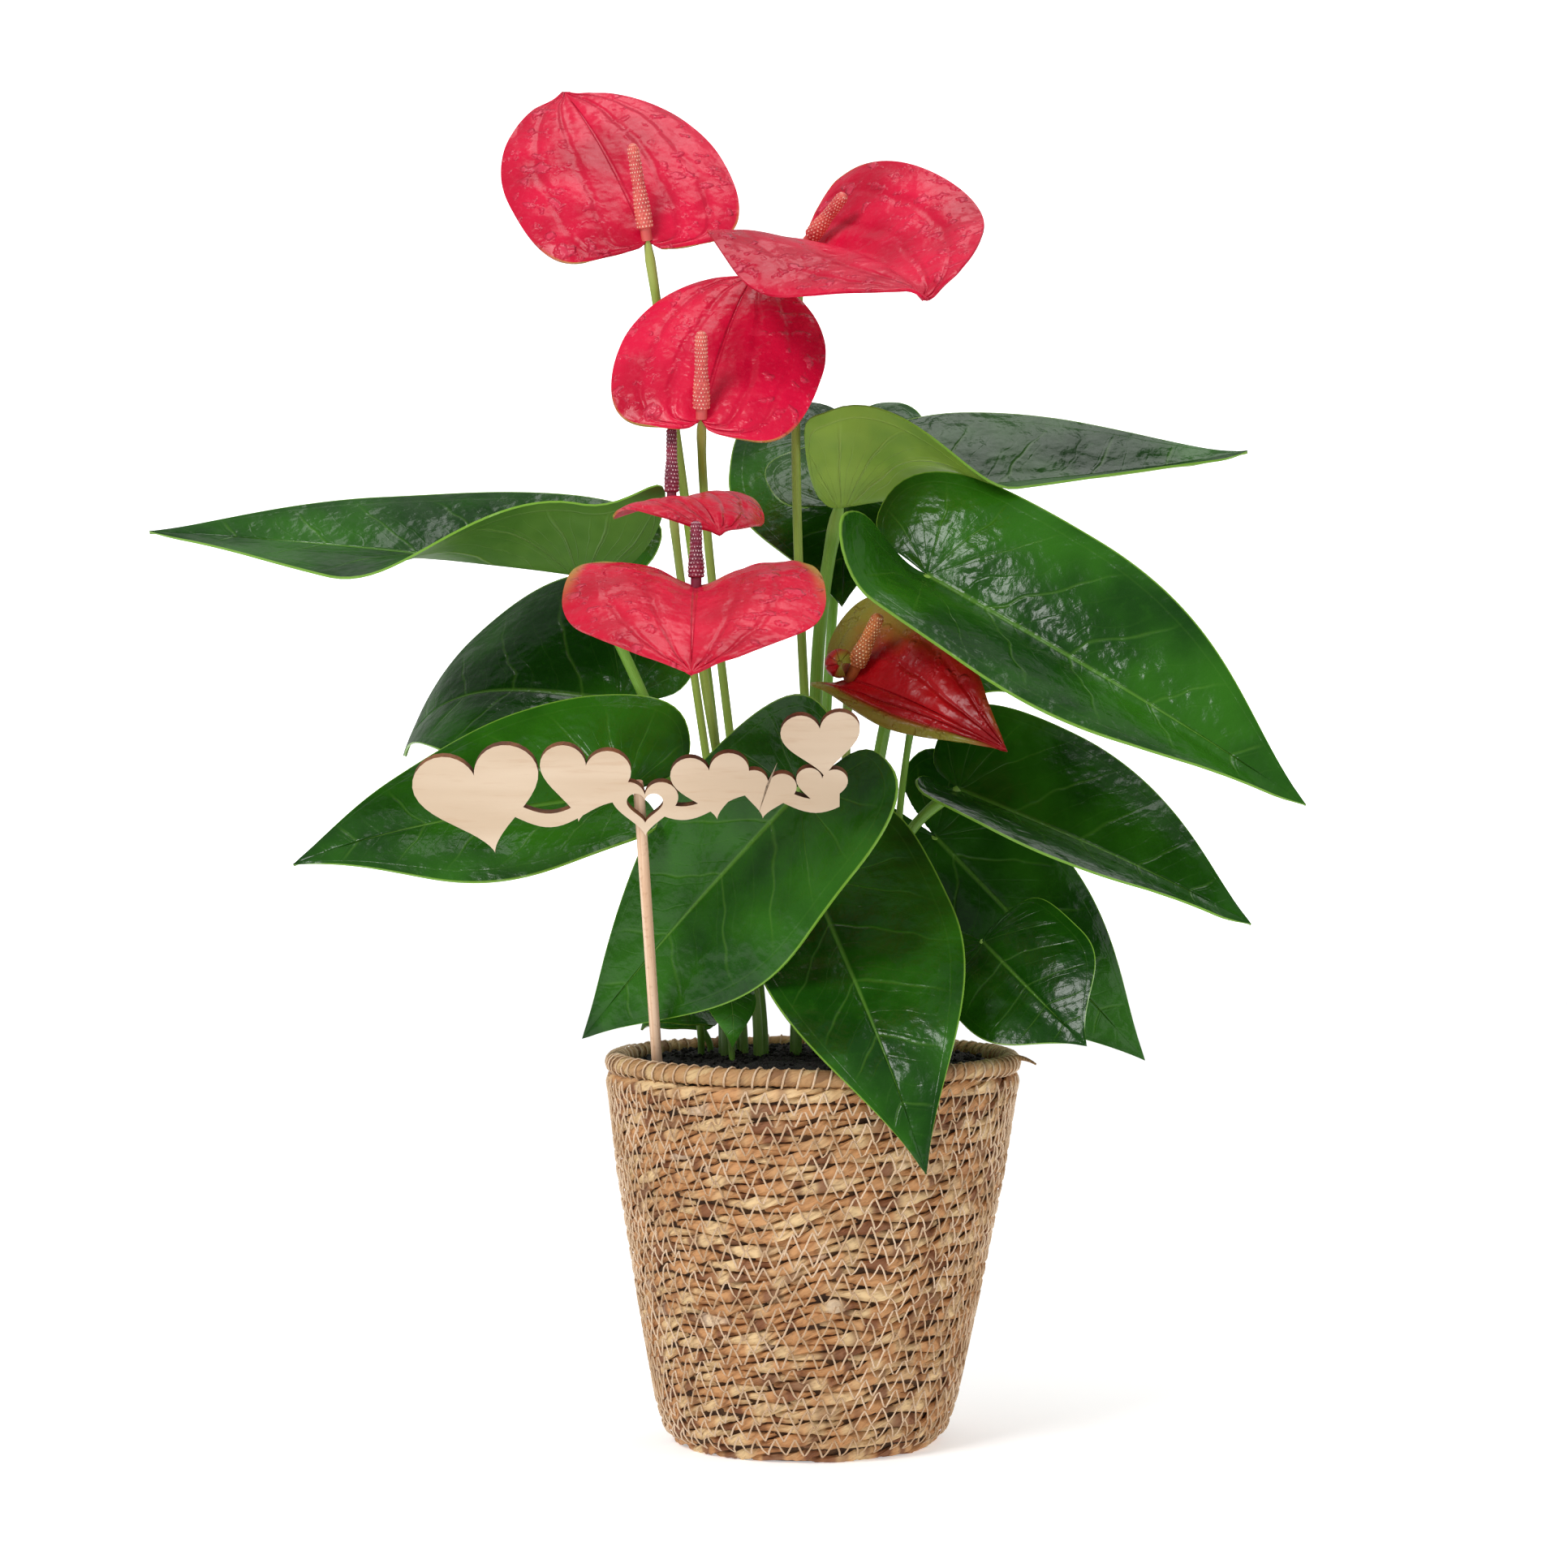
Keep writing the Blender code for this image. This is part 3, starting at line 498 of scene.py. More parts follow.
def spadix_finish(name, flesh, deep, dot):
    """Rows of small florets, each with a pale point in its middle."""
    finish = Finish(name, roughness=0.45)
    s, t = finish.uv()
    row = t.floor()
    across = (s * FLORETS_AROUND + (row % 2.0) * 0.5) % 1.0 - 0.5
    up = t % 1.0 - 0.5
    away = (across * across + up * up) ** 0.5
    picked = finish.cloud(700.0, 0.0).rise(0.36, 0.5)
    body = finish.mix(finish.cloud(160.0, 2.0).rise(0.3, 0.7), flesh, deep)
    seams = finish.mix(away.rise(0.3, 0.52) * 0.55, body, deep)
    finish.set("Base Color", finish.mix(away.rise(0.27, 0.13) * picked, seams, dot))
    finish.bump(away.rise(0.2, 0.08), 0.00015, 0.7)
    return finish.material


def seagrass_finish(name, shades, pale):
    """Dried seagrass: long fibres along each strand, and blades from straw to brown.

    The first coordinate counts the strands, so that no two are coloured alike.
    """
    finish = Finish(name, roughness=0.62)
    s, t = finish.uv()
    light, tan, brown = shades
    strand = s.floor()
    along = finish.vector(strand * 3.7, t * 26.0, 0.0)
    blades = finish.cloud(1.0, 1.0, along)
    other = finish.cloud(1.3, 1.0, finish.vector(strand * 5.3, t * 31.0, 9.0))
    base = finish.mix(blades.rise(0.46, 0.62), tan, light)
    varied = finish.mix(other.rise(0.52, 0.66) * 0.85, base, brown)
    fibres = finish.cloud(1.0, 3.0, finish.vector(s * 15.0, t * 130.0, 0.0))
    lined = finish.mix(fibres.rise(0.48, 0.75) * 0.45, varied, brown)
    bleached = finish.cloud(0.8, 1.0, finish.vector(strand * 2.1, t * 16.0, 4.0)).rise(0.7, 0.74)
    coloured = finish.mix(bleached * 0.75, lined, pale)
    spots = finish.cells(420.0).rise(0.12, 0.05) * finish.cloud(70.0, 1.0).rise(0.5, 0.6)
    finish.set("Base Color", finish.mix(spots * 0.6, coloured, srgb(84, 54, 30)))
    finish.set("Roughness", 0.5 + fibres * 0.3)
    finish.bump(fibres + finish.cloud(260.0, 2.0) * 0.6, 0.0006, 0.8)
    return finish.material


def thread_finish():
    finish = Finish("stitch_thread", roughness=0.7)
    s, t = finish.uv()
    twist = ((t * 900.0 + s * 2.0) % 1.0).rise(0.2, 0.8)
    pale = finish.mix(finish.cloud(60.0, 2.0).rise(0.35, 0.65), srgb(232, 206, 176), srgb(200, 168, 132))
    finish.set("Base Color", finish.mix(twist * 0.25, pale, srgb(120, 92, 66)))
    finish.bump(twist, 0.0001, 0.5)
    return finish.material


def core_finish():
    """What shows in the gaps between the ropes: the same grass in deep shade."""
    finish = Finish("basket_core", roughness=0.85)
    stripes = finish.cloud(160.0, 3.0)
    finish.set("Base Color", finish.mix(stripes.rise(0.35, 0.65), srgb(60, 38, 22), srgb(96, 66, 38)))
    finish.bump(finish.cloud(700.0, 3.0), 0.0006, 0.8)
    return finish.material


def soil_finish(name, dark, brown):
    finish = Finish(name, roughness=0.9)
    grains = finish.cloud(380.0, 4.0, roughness=0.7)
    damp = finish.cloud(50.0, 2.0).rise(0.35, 0.7)
    earth = finish.mix(damp, dark, brown)
    finish.set("Base Color", finish.mix(grains.rise(0.55, 0.75) * 0.5, earth, srgb(50, 37, 27)))
    finish.set("Roughness", 0.75 + grains * 0.25)
    finish.bump(grains + finish.cells(900.0), 0.0012, 1.0)
    return finish.material


def birch_finish(name):
    """Birch ply: fine grain along the plate, small flecks, and scorching that fades in from the cut edge."""
    finish = Finish(name, roughness=0.55)
    stretched = finish.node("ShaderNodeMapping", inputs={"Vector": finish.place, "Scale": (0.12, 1.0, 1.0)})
    grain = finish.cloud(520.0, 3.0, stretched)
    waves = finish.cloud(70.0, 2.0, stretched)
    pale = finish.mix(waves.rise(0.35, 0.65), srgb(216, 194, 168), srgb(204, 180, 152))
    lined = finish.mix(grain.rise(0.52, 0.72) * 0.25, pale, srgb(184, 146, 112))
    scorch = finish.node("ShaderNodeAttribute", {"attribute_name": "scorch"}, output="Fac")
    burnt = (scorch + (finish.cloud(300.0, 2.0) - 0.5) * 0.5).rise(0.5, 1.1)
    finish.set("Base Color", finish.mix(burnt, lined, srgb(104, 62, 34)))
    finish.set("Roughness", 0.5 + grain * 0.2)
    finish.bump(grain, 0.00015, 0.6)
    return finish.material


def burnt_finish():
    """The cut edge, browned by the laser, with the plies as faint lines."""
    finish = Finish("burnt_edge", roughness=0.7)
    plies = finish.cloud(900.0, 1.0)
    brown = finish.mix(finish.cloud(120.0, 2.0).rise(0.35, 0.65), srgb(88, 50, 26), srgb(128, 80, 44))
    finish.set("Base Color", finish.mix(plies.rise(0.5, 0.7) * 0.4, brown, srgb(56, 32, 18)))
    finish.bump(plies, 0.00012, 0.6)
    return finish.material


def stick_finish():
    finish = Finish("stick_wood", roughness=0.55)
    s, t = finish.uv()
    grain = finish.cloud(1.0, 3.0, finish.vector(s * 12.0, t * 2.5, 0.0))
    pale = finish.mix(grain.rise(0.35, 0.65), srgb(232, 200, 170), srgb(212, 172, 138))
    finish.set("Base Color", finish.mix(finish.cloud(500.0, 1.0).rise(0.6, 0.75) * 0.3, pale, srgb(168, 122, 88)))
    finish.bump(grain, 0.0002, 0.6)
    return finish.material


def plastic_finish():
    """Thin black pot: moulded, a little scuffed."""
    finish = Finish("pot_black", roughness=0.45)
    scuffs = finish.cloud(220.0, 4.0).rise(0.5, 0.72)
    finish.set("Base Color", finish.mix(scuffs * 0.5, srgb(24, 24, 26), srgb(62, 60, 58)))
    finish.set("Roughness", 0.38 + scuffs * 0.3)
    finish.bump(finish.cloud(1500.0, 2.0), 0.0001, 0.5)
    return finish.material


def floor_finish():
    finish = Finish("studio_floor", roughness=0.9)
    finish.set("Emission Strength", 0.4)
    finish.set("Emission Color", srgb(255, 255, 255))
    finish.set("Base Color", finish.mix(finish.cloud(3.0, 2.0), srgb(243, 243, 243), srgb(247, 247, 247)))
    return finish.material


def wall_finish():
    """A white wall, lit so evenly that it shows no tone."""
    finish = Finish("studio_wall", roughness=0.9)
    finish.set("Emission Strength", 1.0)
    finish.set("Emission Color", finish.mix(finish.cloud(1.0, 1.0), srgb(254, 254, 254), srgb(255, 255, 255)))
    return finish.material


def edit(*steps):
    """Run operators on all of the active object in edit mode."""
    bpy.ops.object.mode_set(mode="EDIT")
    bpy.ops.mesh.select_all(action="SELECT")
    for step in steps:
        step()
    bpy.ops.object.mode_set(mode="OBJECT")


def merge():
    bpy.ops.mesh.remove_doubles(threshold=0.01 * MM)


def face_out():
    bpy.ops.mesh.normals_make_consistent(inside=False)


def cap():
    """Close the open ends of a tube."""
    bpy.ops.mesh.select_all(action="DESELECT")
    bpy.ops.mesh.select_non_manifold(extend=False, use_boundary=True)
    bpy.ops.mesh.fill_holes(sides=0)
    bpy.ops.mesh.select_all(action="SELECT")


def take(obj):
    """Make an object the only one selected, and the active one."""
    bpy.ops.object.select_all(action="DESELECT")
    obj.select_set(True)
    bpy.context.view_layer.objects.active = obj
    return obj


def shaped_grid(name, across, along, place, relief=None):
    """A grid whose points are moved to place(s, t). Its UV map keeps s and t, each from 0 to 1."""
    bpy.ops.object.select_all(action="DESELECT")
    bpy.ops.mesh.primitive_grid_add(x_subdivisions=across, y_subdivisions=along, size=1, calc_uvs=True)
    obj = bpy.context.object
    obj.name = name
    obj.data.name = name
    shares = [(v.co.x + 0.5, v.co.y + 0.5) for v in obj.data.vertices]
    for vertex, (s, t) in zip(obj.data.vertices, shares):
        vertex.co = place(s, t)
    if relief:
        obj.data.update()
        normals = [v.normal.copy() for v in obj.data.vertices]
        for vertex, normal, (s, t) in zip(obj.data.vertices, normals, shares):
            vertex.co += normal * relief(s, t, vertex.co) * MM
    return obj


def apply_modifier(obj, kind, **settings):
    take(obj)
    modifier = obj.modifiers.new(kind.lower(), kind)
    for key, value in settings.items():
        setattr(modifier, key, value)
    bpy.ops.object.modifier_apply(modifier=modifier.name)


def join(name, pieces):
    """One piece out of several."""
    take(pieces[0])
    for piece in pieces[1:]:
        piece.select_set(True)
    bpy.ops.object.join()
    joined = bpy.context.object
    joined.name = name
    joined.data.name = name
    return joined


def keep_in_box(piece):
    """Bring points that stand proud of the CAD model's box back onto its sides."""
    lowest, highest = cad_box
    for vertex in piece.data.vertices:
        vertex.co = [min(max(value, low), high) for value, low, high in zip(vertex.co, lowest, highest)]


def complete(piece, node, slot, *finishes, angle=60.0):
    """Give a piece its finishes, hang it from the root body and hide the CAD part that it takes the place of."""
    take(piece)
    keep_in_box(piece)
    bpy.ops.object.shade_smooth_by_angle(angle=math.radians(angle))
    if finishes:
        piece.data.materials.clear()
    for finish in finishes:
        piece.data.materials.append(finish)
    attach(piece, "root")
    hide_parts(node)


def half_outline(length, width, lobe, blade):
    """Edge of one half from the tip to the notch, as points (along the rib, out from it)."""
    widest = blade.belly * length
    back = lobe * length
    shoulder = (0.76 + 0.14 * blade.full) * length
    tip_width = (0.34 + 0.16 * blade.full) * width
    corner = (0.95 - 0.17 * blade.full) * width
    notch = (-0.5 * back, 0.075 * width)
    pieces = (
        ((length, 0), (shoulder, tip_width), (widest + 0.34 * length, width), (widest, width)),
        ((widest, width), (min(0, widest - 0.26 * length), width), (-back, corner), (-back, 0.52 * width)),
        ((-back, 0.52 * width), (-back, 0.2 * width), (-0.8 * back, 0.11 * width), notch),
    )
    edge = [bezier([Vector(q) for q in points], i / 40) for points in pieces for i in range(40)]
    return edge + [Vector(notch)]


def evenly(points, count):
    """Points spread evenly along a line of points."""
    lengths = [0.0]
    for a, b in zip(points, points[1:]):
        lengths.append(lengths[-1] + (b - a).length)
    spread, i = [], 0
    for step in range(count + 1):
        wanted = lengths[-1] * step / count
        while i < len(points) - 2 and lengths[i + 1] < wanted:
            i += 1
        share = (wanted - lengths[i]) / max(lengths[i + 1] - lengths[i], 1e-12)
        spread.append(points[i].lerp(points[i + 1], min(1.0, share)))
    return spread


class Surface:
    """The blade's middle surface: a curved rib, and two halves that fold and curl about it."""

    def __init__(self, blade):
        self.blade = blade
        self.start = mm(blade.junction)
        self.end = mm(blade.tip)
        chord = (self.end - self.start).normalized()
        up = Vector((0, 0, 1))
        level = (up - chord * up.dot(chord)).normalized()
        turn = math.radians(blade.roll)
        self.normal = level * math.cos(turn) + chord.cross(level) * math.sin(turn)
        third = (self.end - self.start) / 3
        first, second = (a * MM * 1.3 for a in blade.arch)
        self.rib = [
            self.start,
            self.start + third + self.normal * first,
            self.end - third + self.normal * second,
            self.end,
        ]
        marks = [bezier(self.rib, i / 24) for i in range(25)]
        self.length = sum((b - a).length for a, b in zip(marks, marks[1:]))

    def frame(self, u):
        """Point on the rib, the upward normal and the left-hand direction there."""
        t = min(1.0, max(0.0, u / self.length))
        before, after = max(0.0, t - 0.01), min(1.0, t + 0.01)
        along = (bezier(self.rib, after) - bezier(self.rib, before)).normalized()
        normal = (self.normal - along * self.normal.dot(along)).normalized()
        point = bezier(self.rib, t)
        if u < 0:
            point = point + along * u
        return point, normal, normal.cross(along)

    def at(self, u, v, side):
        """Point at u along the rib and v out on a side, 0 for left and 1 for right."""
        blade = self.blade
        point, normal, left = self.frame(u)
        out = left if side == 0 else -left
        width = blade.half[side] * MM
        mix = smooth(blade.fold_rate * u / self.length)
        fold = math.radians(blade.fold[side] * (1 - mix) + blade.fold_tip[side] * mix)
        across = height = 0.0
        for step in range(SECTION_STEPS):
            reach = v * (step + 0.5) / SECTION_STEPS
            slope = fold * min(1.0, reach / (CREASE * MM)) + math.radians(blade.curl[side]) * reach / width
            across += math.cos(slope) * v / SECTION_STEPS
            height += math.sin(slope) * v / SECTION_STEPS
        if u < 0:
            height += blade.lift[side] * MM * (u / (blade.lobe[side] * self.length)) ** 2
        return point + out * across + normal * height


def vein_start(u, length):
    """Where on the rib the side vein that ends at u on the edge begins."""
    return max(0.0, (u - 0.30 * length) / 0.70)


def leaf_relief(s, t, point):
    """Shallow quilting between a leaf's side veins, in millimetres."""
    away = abs(2 * s - 1)
    swell = abs(math.sin(math.pi * (t * LEAF_VEINS + 0.3 * noise.noise(point * 38)))) ** 0.8
    lumps = noise.noise(point * 90)
    return (0.5 * swell + 0.35 * lumps) * away * (1 - away) * 3 - 0.4 * smooth(1 - away / 0.06)


def spathe_relief(s, t, point):
    """Broad swells between a spathe's arching veins, and puckers, in millimetres."""
    away = abs(2 * s - 1)
    fade = smooth(away / 0.2) * smooth((1 - away) / 0.08)
    swell = abs(math.sin(math.pi * (away * SPATHE_VEINS + 0.5 * noise.noise(point * 40)))) ** 1.5
    return fade * (0.34 * swell + 0.8 * away * noise.noise(point * 130)) - 0.4 * smooth(1 - away / 0.05)


def add_sheet(blade, grid, relief, thickness, upper, lower):
    """A leaf's blade or a spathe: its rows run like side veins from the rib to the edge."""
    across, rows = grid
    surface = Surface(blade)
    length = surface.length
    edges = []
    for side in (0, 1):
        line = half_outline(length, blade.half[side] * MM, blade.lobe[side], blade)
        edges.append(evenly(line, rows)[::-1])

    def place(s, t):
        side = 0 if s < 0.5 else 1
        away = abs(2 * s - 1)
        row = round(t * rows)
        u, v = edges[side][row]
        start = sum(vein_start(edge[row][0], length) for edge in edges) / 2
        v *= 1 - 0.4 * blade.full * smooth((t - 0.88) / 0.08)
        return surface.at(start + (u - start) * away, v * away, side)

    sheet = shaped_grid(blade.name + "_sheet", across, rows, place, relief)
    edit(merge)
    sheet.data.materials.append(upper)
    sheet.data.materials.append(lower)
    apply_modifier(sheet, "SOLIDIFY", thickness=thickness * MM, offset=0.0, material_offset=1)
    return sheet


def tube(name, centres, radii, sides):
    """A round tube through a line of points, closed at both ends. Its UV map runs round it and along it."""
    frames = []
    side = Vector((1, 0, 0))
    for i, centre in enumerate(centres):
        ahead = (centres[min(i + 1, len(centres) - 1)] - centres[max(i - 1, 0)]).normalized()
        side = (side - ahead * side.dot(ahead)).normalized()
        frames.append((centre, side, ahead.cross(side)))
    last = len(centres) - 1

    def place(s, t):
        row = round(t * last)
        centre, across, up = frames[row]
        angle = math.tau * s
        return centre + (across * math.cos(angle) + up * math.sin(angle)) * radii[row]

    piece = shaped_grid(name, sides, last, place)
    edit(merge, cap, face_out)
    return piece


def soil_height(x, y):
    """Height of the soil: a low crown with crumbs on it."""
    distance = math.hypot(x, y) / 64.0
    crumbs = math.sin(0.61 * x + 1.3) * math.sin(0.53 * y + 0.4) + 0.6 * math.sin(0.37 * x - 0.83 * y)
    return SOIL_TOP + SOIL_RISE * (1 - distance * distance) + 0.45 * crumbs


def add_stem(blade, slot, finish):
    """A stalk from the soil to its blade, a little swollen at the foot and at the joint under the blade."""
    root = Vector((blade.root[0] + lean_at(SOIL_TOP), blade.root[1], 0))
    ground = mm((root.x, root.y, soil_height(root.x, root.y) + 1.0))
    direction = (mm(blade.junction) - mm(blade.bend)).normalized()
    top = mm(blade.junction) - direction * 7.3 * MM
    rise = Vector((0, 0, (top.z - ground.z) * blade.rise))
    reach = top - direction * (top - ground).length * 0.35
    climb = [bezier([ground, ground + rise, reach, top], i / 60) for i in range(61)]
    line = [ground - mm((0, 0, ROOT_DEPTH - 2))] + climb + [mm(blade.junction) + direction * 0.1 * MM]
    centres = evenly(line, STEM_STEPS)
    length = sum((b - a).length for a, b in zip(centres, centres[1:]))
    radii = []
    for i in range(STEM_STEPS + 1):
        left = length * (1 - i / STEM_STEPS) / MM
        swell = 1.0 + 0.16 * smooth(1 - abs(left - 9.0) / 9.0) + 0.12 * smooth(1 - i / 9)
        narrow = 1 - 0.25 * smooth(1 - left / 4.0)
        radii.append(blade.stalk * MM * swell * narrow)
    stem = tube(blade.name + "_stem", centres, radii, STEM_SIDES)
    complete(stem, blade.name + "_stalk", slot, finish)


def add_curl(where, size, upper):
    """A lobe beside the stalk that has curled up into a small cup."""
    def place(s, t):
        angle = math.tau * 0.82 * s
        tilt = math.pi * (0.06 + 0.8 * t)
        point = Vector((math.sin(tilt) * math.cos(angle), -math.cos(tilt), math.sin(tilt) * math.sin(angle)))
        return mm(Vector(where) + point * (size + 0.3 * noise.noise(point * 2)))

    curl = shaped_grid("curled_lobe", 28, 18, place)
    curl.data.materials.append(upper)
    apply_modifier(curl, "SOLIDIFY", thickness=SPATHE_THICKNESS * MM, offset=0.0)
    edit(merge, face_out)
    return curl


def add_spadix(flower, finish):
    """The spike of florets, on its short foot."""
    reach = mm(flower.spadix)
    start = mm(flower.junction)
    turn = reach.to_track_quat("Z", "Y").to_matrix()
    length = reach.length / MM
    rows = round((length - flower.boss) / FLORET_LENGTH)
    foot_share = flower.boss / length

    def place(s, t):
        share = max(0.0, (t - foot_share) / (1 - foot_share))
        taper = 0.8 + 0.2 * math.sin(math.pi * min(1.0, share * 1.6 + 0.25)) - 0.12 * share
        cap_share = max(0.0, (share - 0.9) / 0.1)
        radius = flower.spadix_radius * taper * math.sqrt(max(0.0, 1 - cap_share * cap_share))
        if t < foot_share:
            radius = flower.spadix_radius * 0.66
        b = share * rows
        a = s * FLORETS_AROUND + 0.5 * (math.floor(b) % 2)
        away = math.hypot(a % 1.0 - 0.5, b % 1.0 - 0.5)
        if 0.0 < share < 0.97:
            radius += 0.3 * math.cos(math.pi * min(0.5, away)) - 0.12
        angle = math.tau * s
        point = Vector((radius * math.cos(angle), radius * math.sin(angle), length * t))
        return start + turn @ (point * MM)

    spadix = shaped_grid(flower.name + "_florets", SPADIX_GRID[0], SPADIX_GRID[1], place)
    for loop in spadix.data.uv_layers["UVMap"].data:
        loop.uv.y = max(0.0, (loop.uv.y - foot_share) / (1 - foot_share)) * rows
    edit(merge, cap, face_out)
    complete(spadix, flower.name + "_spadix", "spadix_" + flower.spadix_color, finish)


def basket_radius(z):
    """Outer radius of the basket at a height, read from its profile."""
    for (z0, r0), (z1, r1) in zip(BASKET_PROFILE, BASKET_PROFILE[1:]):
        if z <= z1:
            return r0 + (r1 - r0) * (z - z0) / (z1 - z0)
    return BASKET_PROFILE[-1][1]


def round_noise(angle, turns, seed):
    """Smooth noise that closes after a full turn, from -1 to 1."""
    return noise.noise(Vector((math.cos(angle) * turns, math.sin(angle) * turns, seed * 7.31)))


def row_drift(angle, z):
    """How far a row wanders up or down, in millimetres, most around the middle of the basket."""
    middle = math.sin(math.pi * min(1.0, max(0.0, z / ROPE_HIGH)))
    where = Vector((math.cos(angle) * 2.2, math.sin(angle) * 2.2, z * 0.025))
    return 4.2 * middle * noise.noise(where)


def add_strand(name, radius, z, lift, wide, thick, turns, phase, row, ply):
    """One strand of a rope that runs round the basket, wound about the rope's middle line.

    Its number is added to its first UV coordinate, so that the finish can colour each strand apart.
    """
    steps = turns * STEPS_PER_TURN

    def place(s, t):
        angle = math.tau * t
        drift = round_noise(angle, 2.5, row)
        height = z + row_drift(angle, z) + 0.9 * drift
        outward = Vector((math.cos(angle), math.sin(angle), 0))
        twist = math.tau * turns * t + phase + 1.1 * round_noise(angle, 4.0, row + 3)
        away = outward * math.cos(twist) + Vector((0, 0, math.sin(twist)))
        beside = Vector((0, 0, math.cos(twist))) - outward * math.sin(twist)
        swell = 1 + 0.22 * round_noise(angle, 9.0, row + 0.4 * ply)
        around = math.tau * s
        section = away * (thick * math.cos(around)) + beside * (wide * swell * math.sin(around))
        centre = outward * (radius + 0.35 * drift) + Vector((lean_at(z), 0, height))
        return (centre + away * lift + section) * MM

    strand = shaped_grid(name, STRAND_SIDES, steps, place)
    for loop in strand.data.uv_layers["UVMap"].data:
        loop.uv.x += 2 * row + ply
    return strand


def add_ropes(finish):
    """The sewn coil: rows of two-strand rope."""
    strands = []
    for row in range(ROPE_ROWS):
        z = ROPE_LOW + (ROPE_HIGH - ROPE_LOW) * row / (ROPE_ROWS - 1)
        radius = basket_radius(z) - ROPE_RADIUS
        turns = round(math.tau * radius / TWIST_LENGTH)
        for ply in (0, 1):
            strands.append(add_strand("strand", radius, z, STRAND_LIFT, STRAND_WIDE, STRAND_THICK, turns,
                                      math.pi * ply + 2.4 * row, row, ply))
    ropes = join("basket_ropes", strands)
    edit(merge, face_out)
    complete(ropes, "basket", "seagrass", finish)


def add_rim(finish):
    """The thicker rope that the basket ends in, of four strands, and one strand's end that sticks out."""
    radius, z = RIM_PLACE
    strands = []
    for ply in range(4):
        strands.append(add_strand("rim_strand", radius, z, 1.7, 2.2, 1.3, 15, math.tau * ply / 4, 40, ply))
    rim = join("basket_rim", strands)
    edit(merge, face_out)
    start = mm((70.5, -14.0, 134.0))
    centres = [bezier([start, start + mm((3, 1, 1)), start + mm((6, -1, 0.5)), start + mm((9, -3, -1.5))], i / 8)
               for i in range(9)]
    end = tube("strand_end", centres, [MM * (1.4 - 0.13 * i) for i in range(9)], STRAND_SIDES)
    rim = join("basket_rim", [rim, end])
    complete(rim, "basket", "seagrass", finish)


def add_stitches(finish):
    """The thread that sews each rope to the next in a zigzag, and runs over the rim."""
    chance = random.Random(7)
    threads = []
    step = (ROPE_HIGH - ROPE_LOW) / (ROPE_ROWS - 1)
    for row in range(ROPE_ROWS - 1):
        z = ROPE_LOW + step * (row + 0.5)
        count = round(math.tau * basket_radius(z) / STITCH_WIDTH)
        shift = chance.random()
        reach = STITCH_REACH * chance.uniform(0.85, 1.15)

        def place(s, t, z=z, count=count, shift=shift, reach=reach, row=row):
            angle = math.tau * t
            wave = (t * count + shift) % 1.0
            swing = 4 * abs(wave - 0.5) - 1
            uneven = 1 + 0.3 * round_noise(angle, 14.0, row)
            height = max(0.6, z + row_drift(angle, z) + swing * reach * uneven)
            over = 0.55 + 0.1 * round_noise(angle, 20.0, row + 9) - 1.2 * max(0.0, abs(swing) - 0.7) / 0.3
            radius = basket_radius(height) + over
            around = math.tau * s
            outward = Vector((math.cos(angle), math.sin(angle), 0))
            beside = Vector((-math.sin(angle), math.cos(angle), 0))
            centre = outward * radius + Vector((lean_at(height), 0, height))
            return (centre + (outward * math.cos(around) + beside * math.sin(around)) * THREAD_RADIUS) * MM

        threads.append(shaped_grid("thread", 4, count * 6, place))

    radius, z = RIM_PLACE

    def over_rim(s, t):
        turns = RIM_STITCHES
        angle = math.tau * t
        loop = math.tau * turns * t
        reach = 3.45 + 0.3 * round_noise(angle, 12.0, 3)
        outward = Vector((math.cos(angle), math.sin(angle), 0))
        beside = Vector((-math.sin(angle), math.cos(angle), 0))
        away = outward * math.cos(loop) + Vector((0, 0, math.sin(loop)))
        around = math.tau * s
        centre = outward * radius + Vector((lean_at(z), 0, z)) + away * reach
        return (centre + (away * math.cos(around) + beside * math.sin(around)) * THREAD_RADIUS) * MM

    threads.append(shaped_grid("thread", 4, RIM_STITCHES * 12, over_rim))
    stitches = join("basket_stitches", threads)
    edit(merge, face_out)
    complete(stitches, "basket", "seagrass", finish, angle=80.0)


def add_core(finish):
    """The shell behind the ropes, closed at the base, whose underside shows the coil."""
    wall = [(basket_radius(z) - 2.6, z) for z in (127.0, 100.0, 70.0, 40.0, 16.0, 5.0)]
    base = [(43.0 - 1.45 * i, 0.9 if i % 2 else 0.3) for i in range(30)]
    inside = [(12.0, BASKET_FLOOR), (basket_radius(BASKET_FLOOR) - 7.5, BASKET_FLOOR)]
    inside += [(basket_radius(z) - 5.2, z) for z in (16.0, 40.0, 70.0, 100.0, 127.0)]
    profile = wall + base + [(0.0, 0.6), (0.0, BASKET_FLOOR)] + inside + wall[:1]
    last = len(profile) - 1

    def place(s, t):
        radius, z = profile[round(t * last)]
        angle = math.tau * s
        return mm((radius * math.cos(angle) + lean_at(z), radius * math.sin(angle), z))

    core = shaped_grid("basket_core", 72, last, place)
    edit(merge, face_out)
    complete(core, "basket", "seagrass", finish)


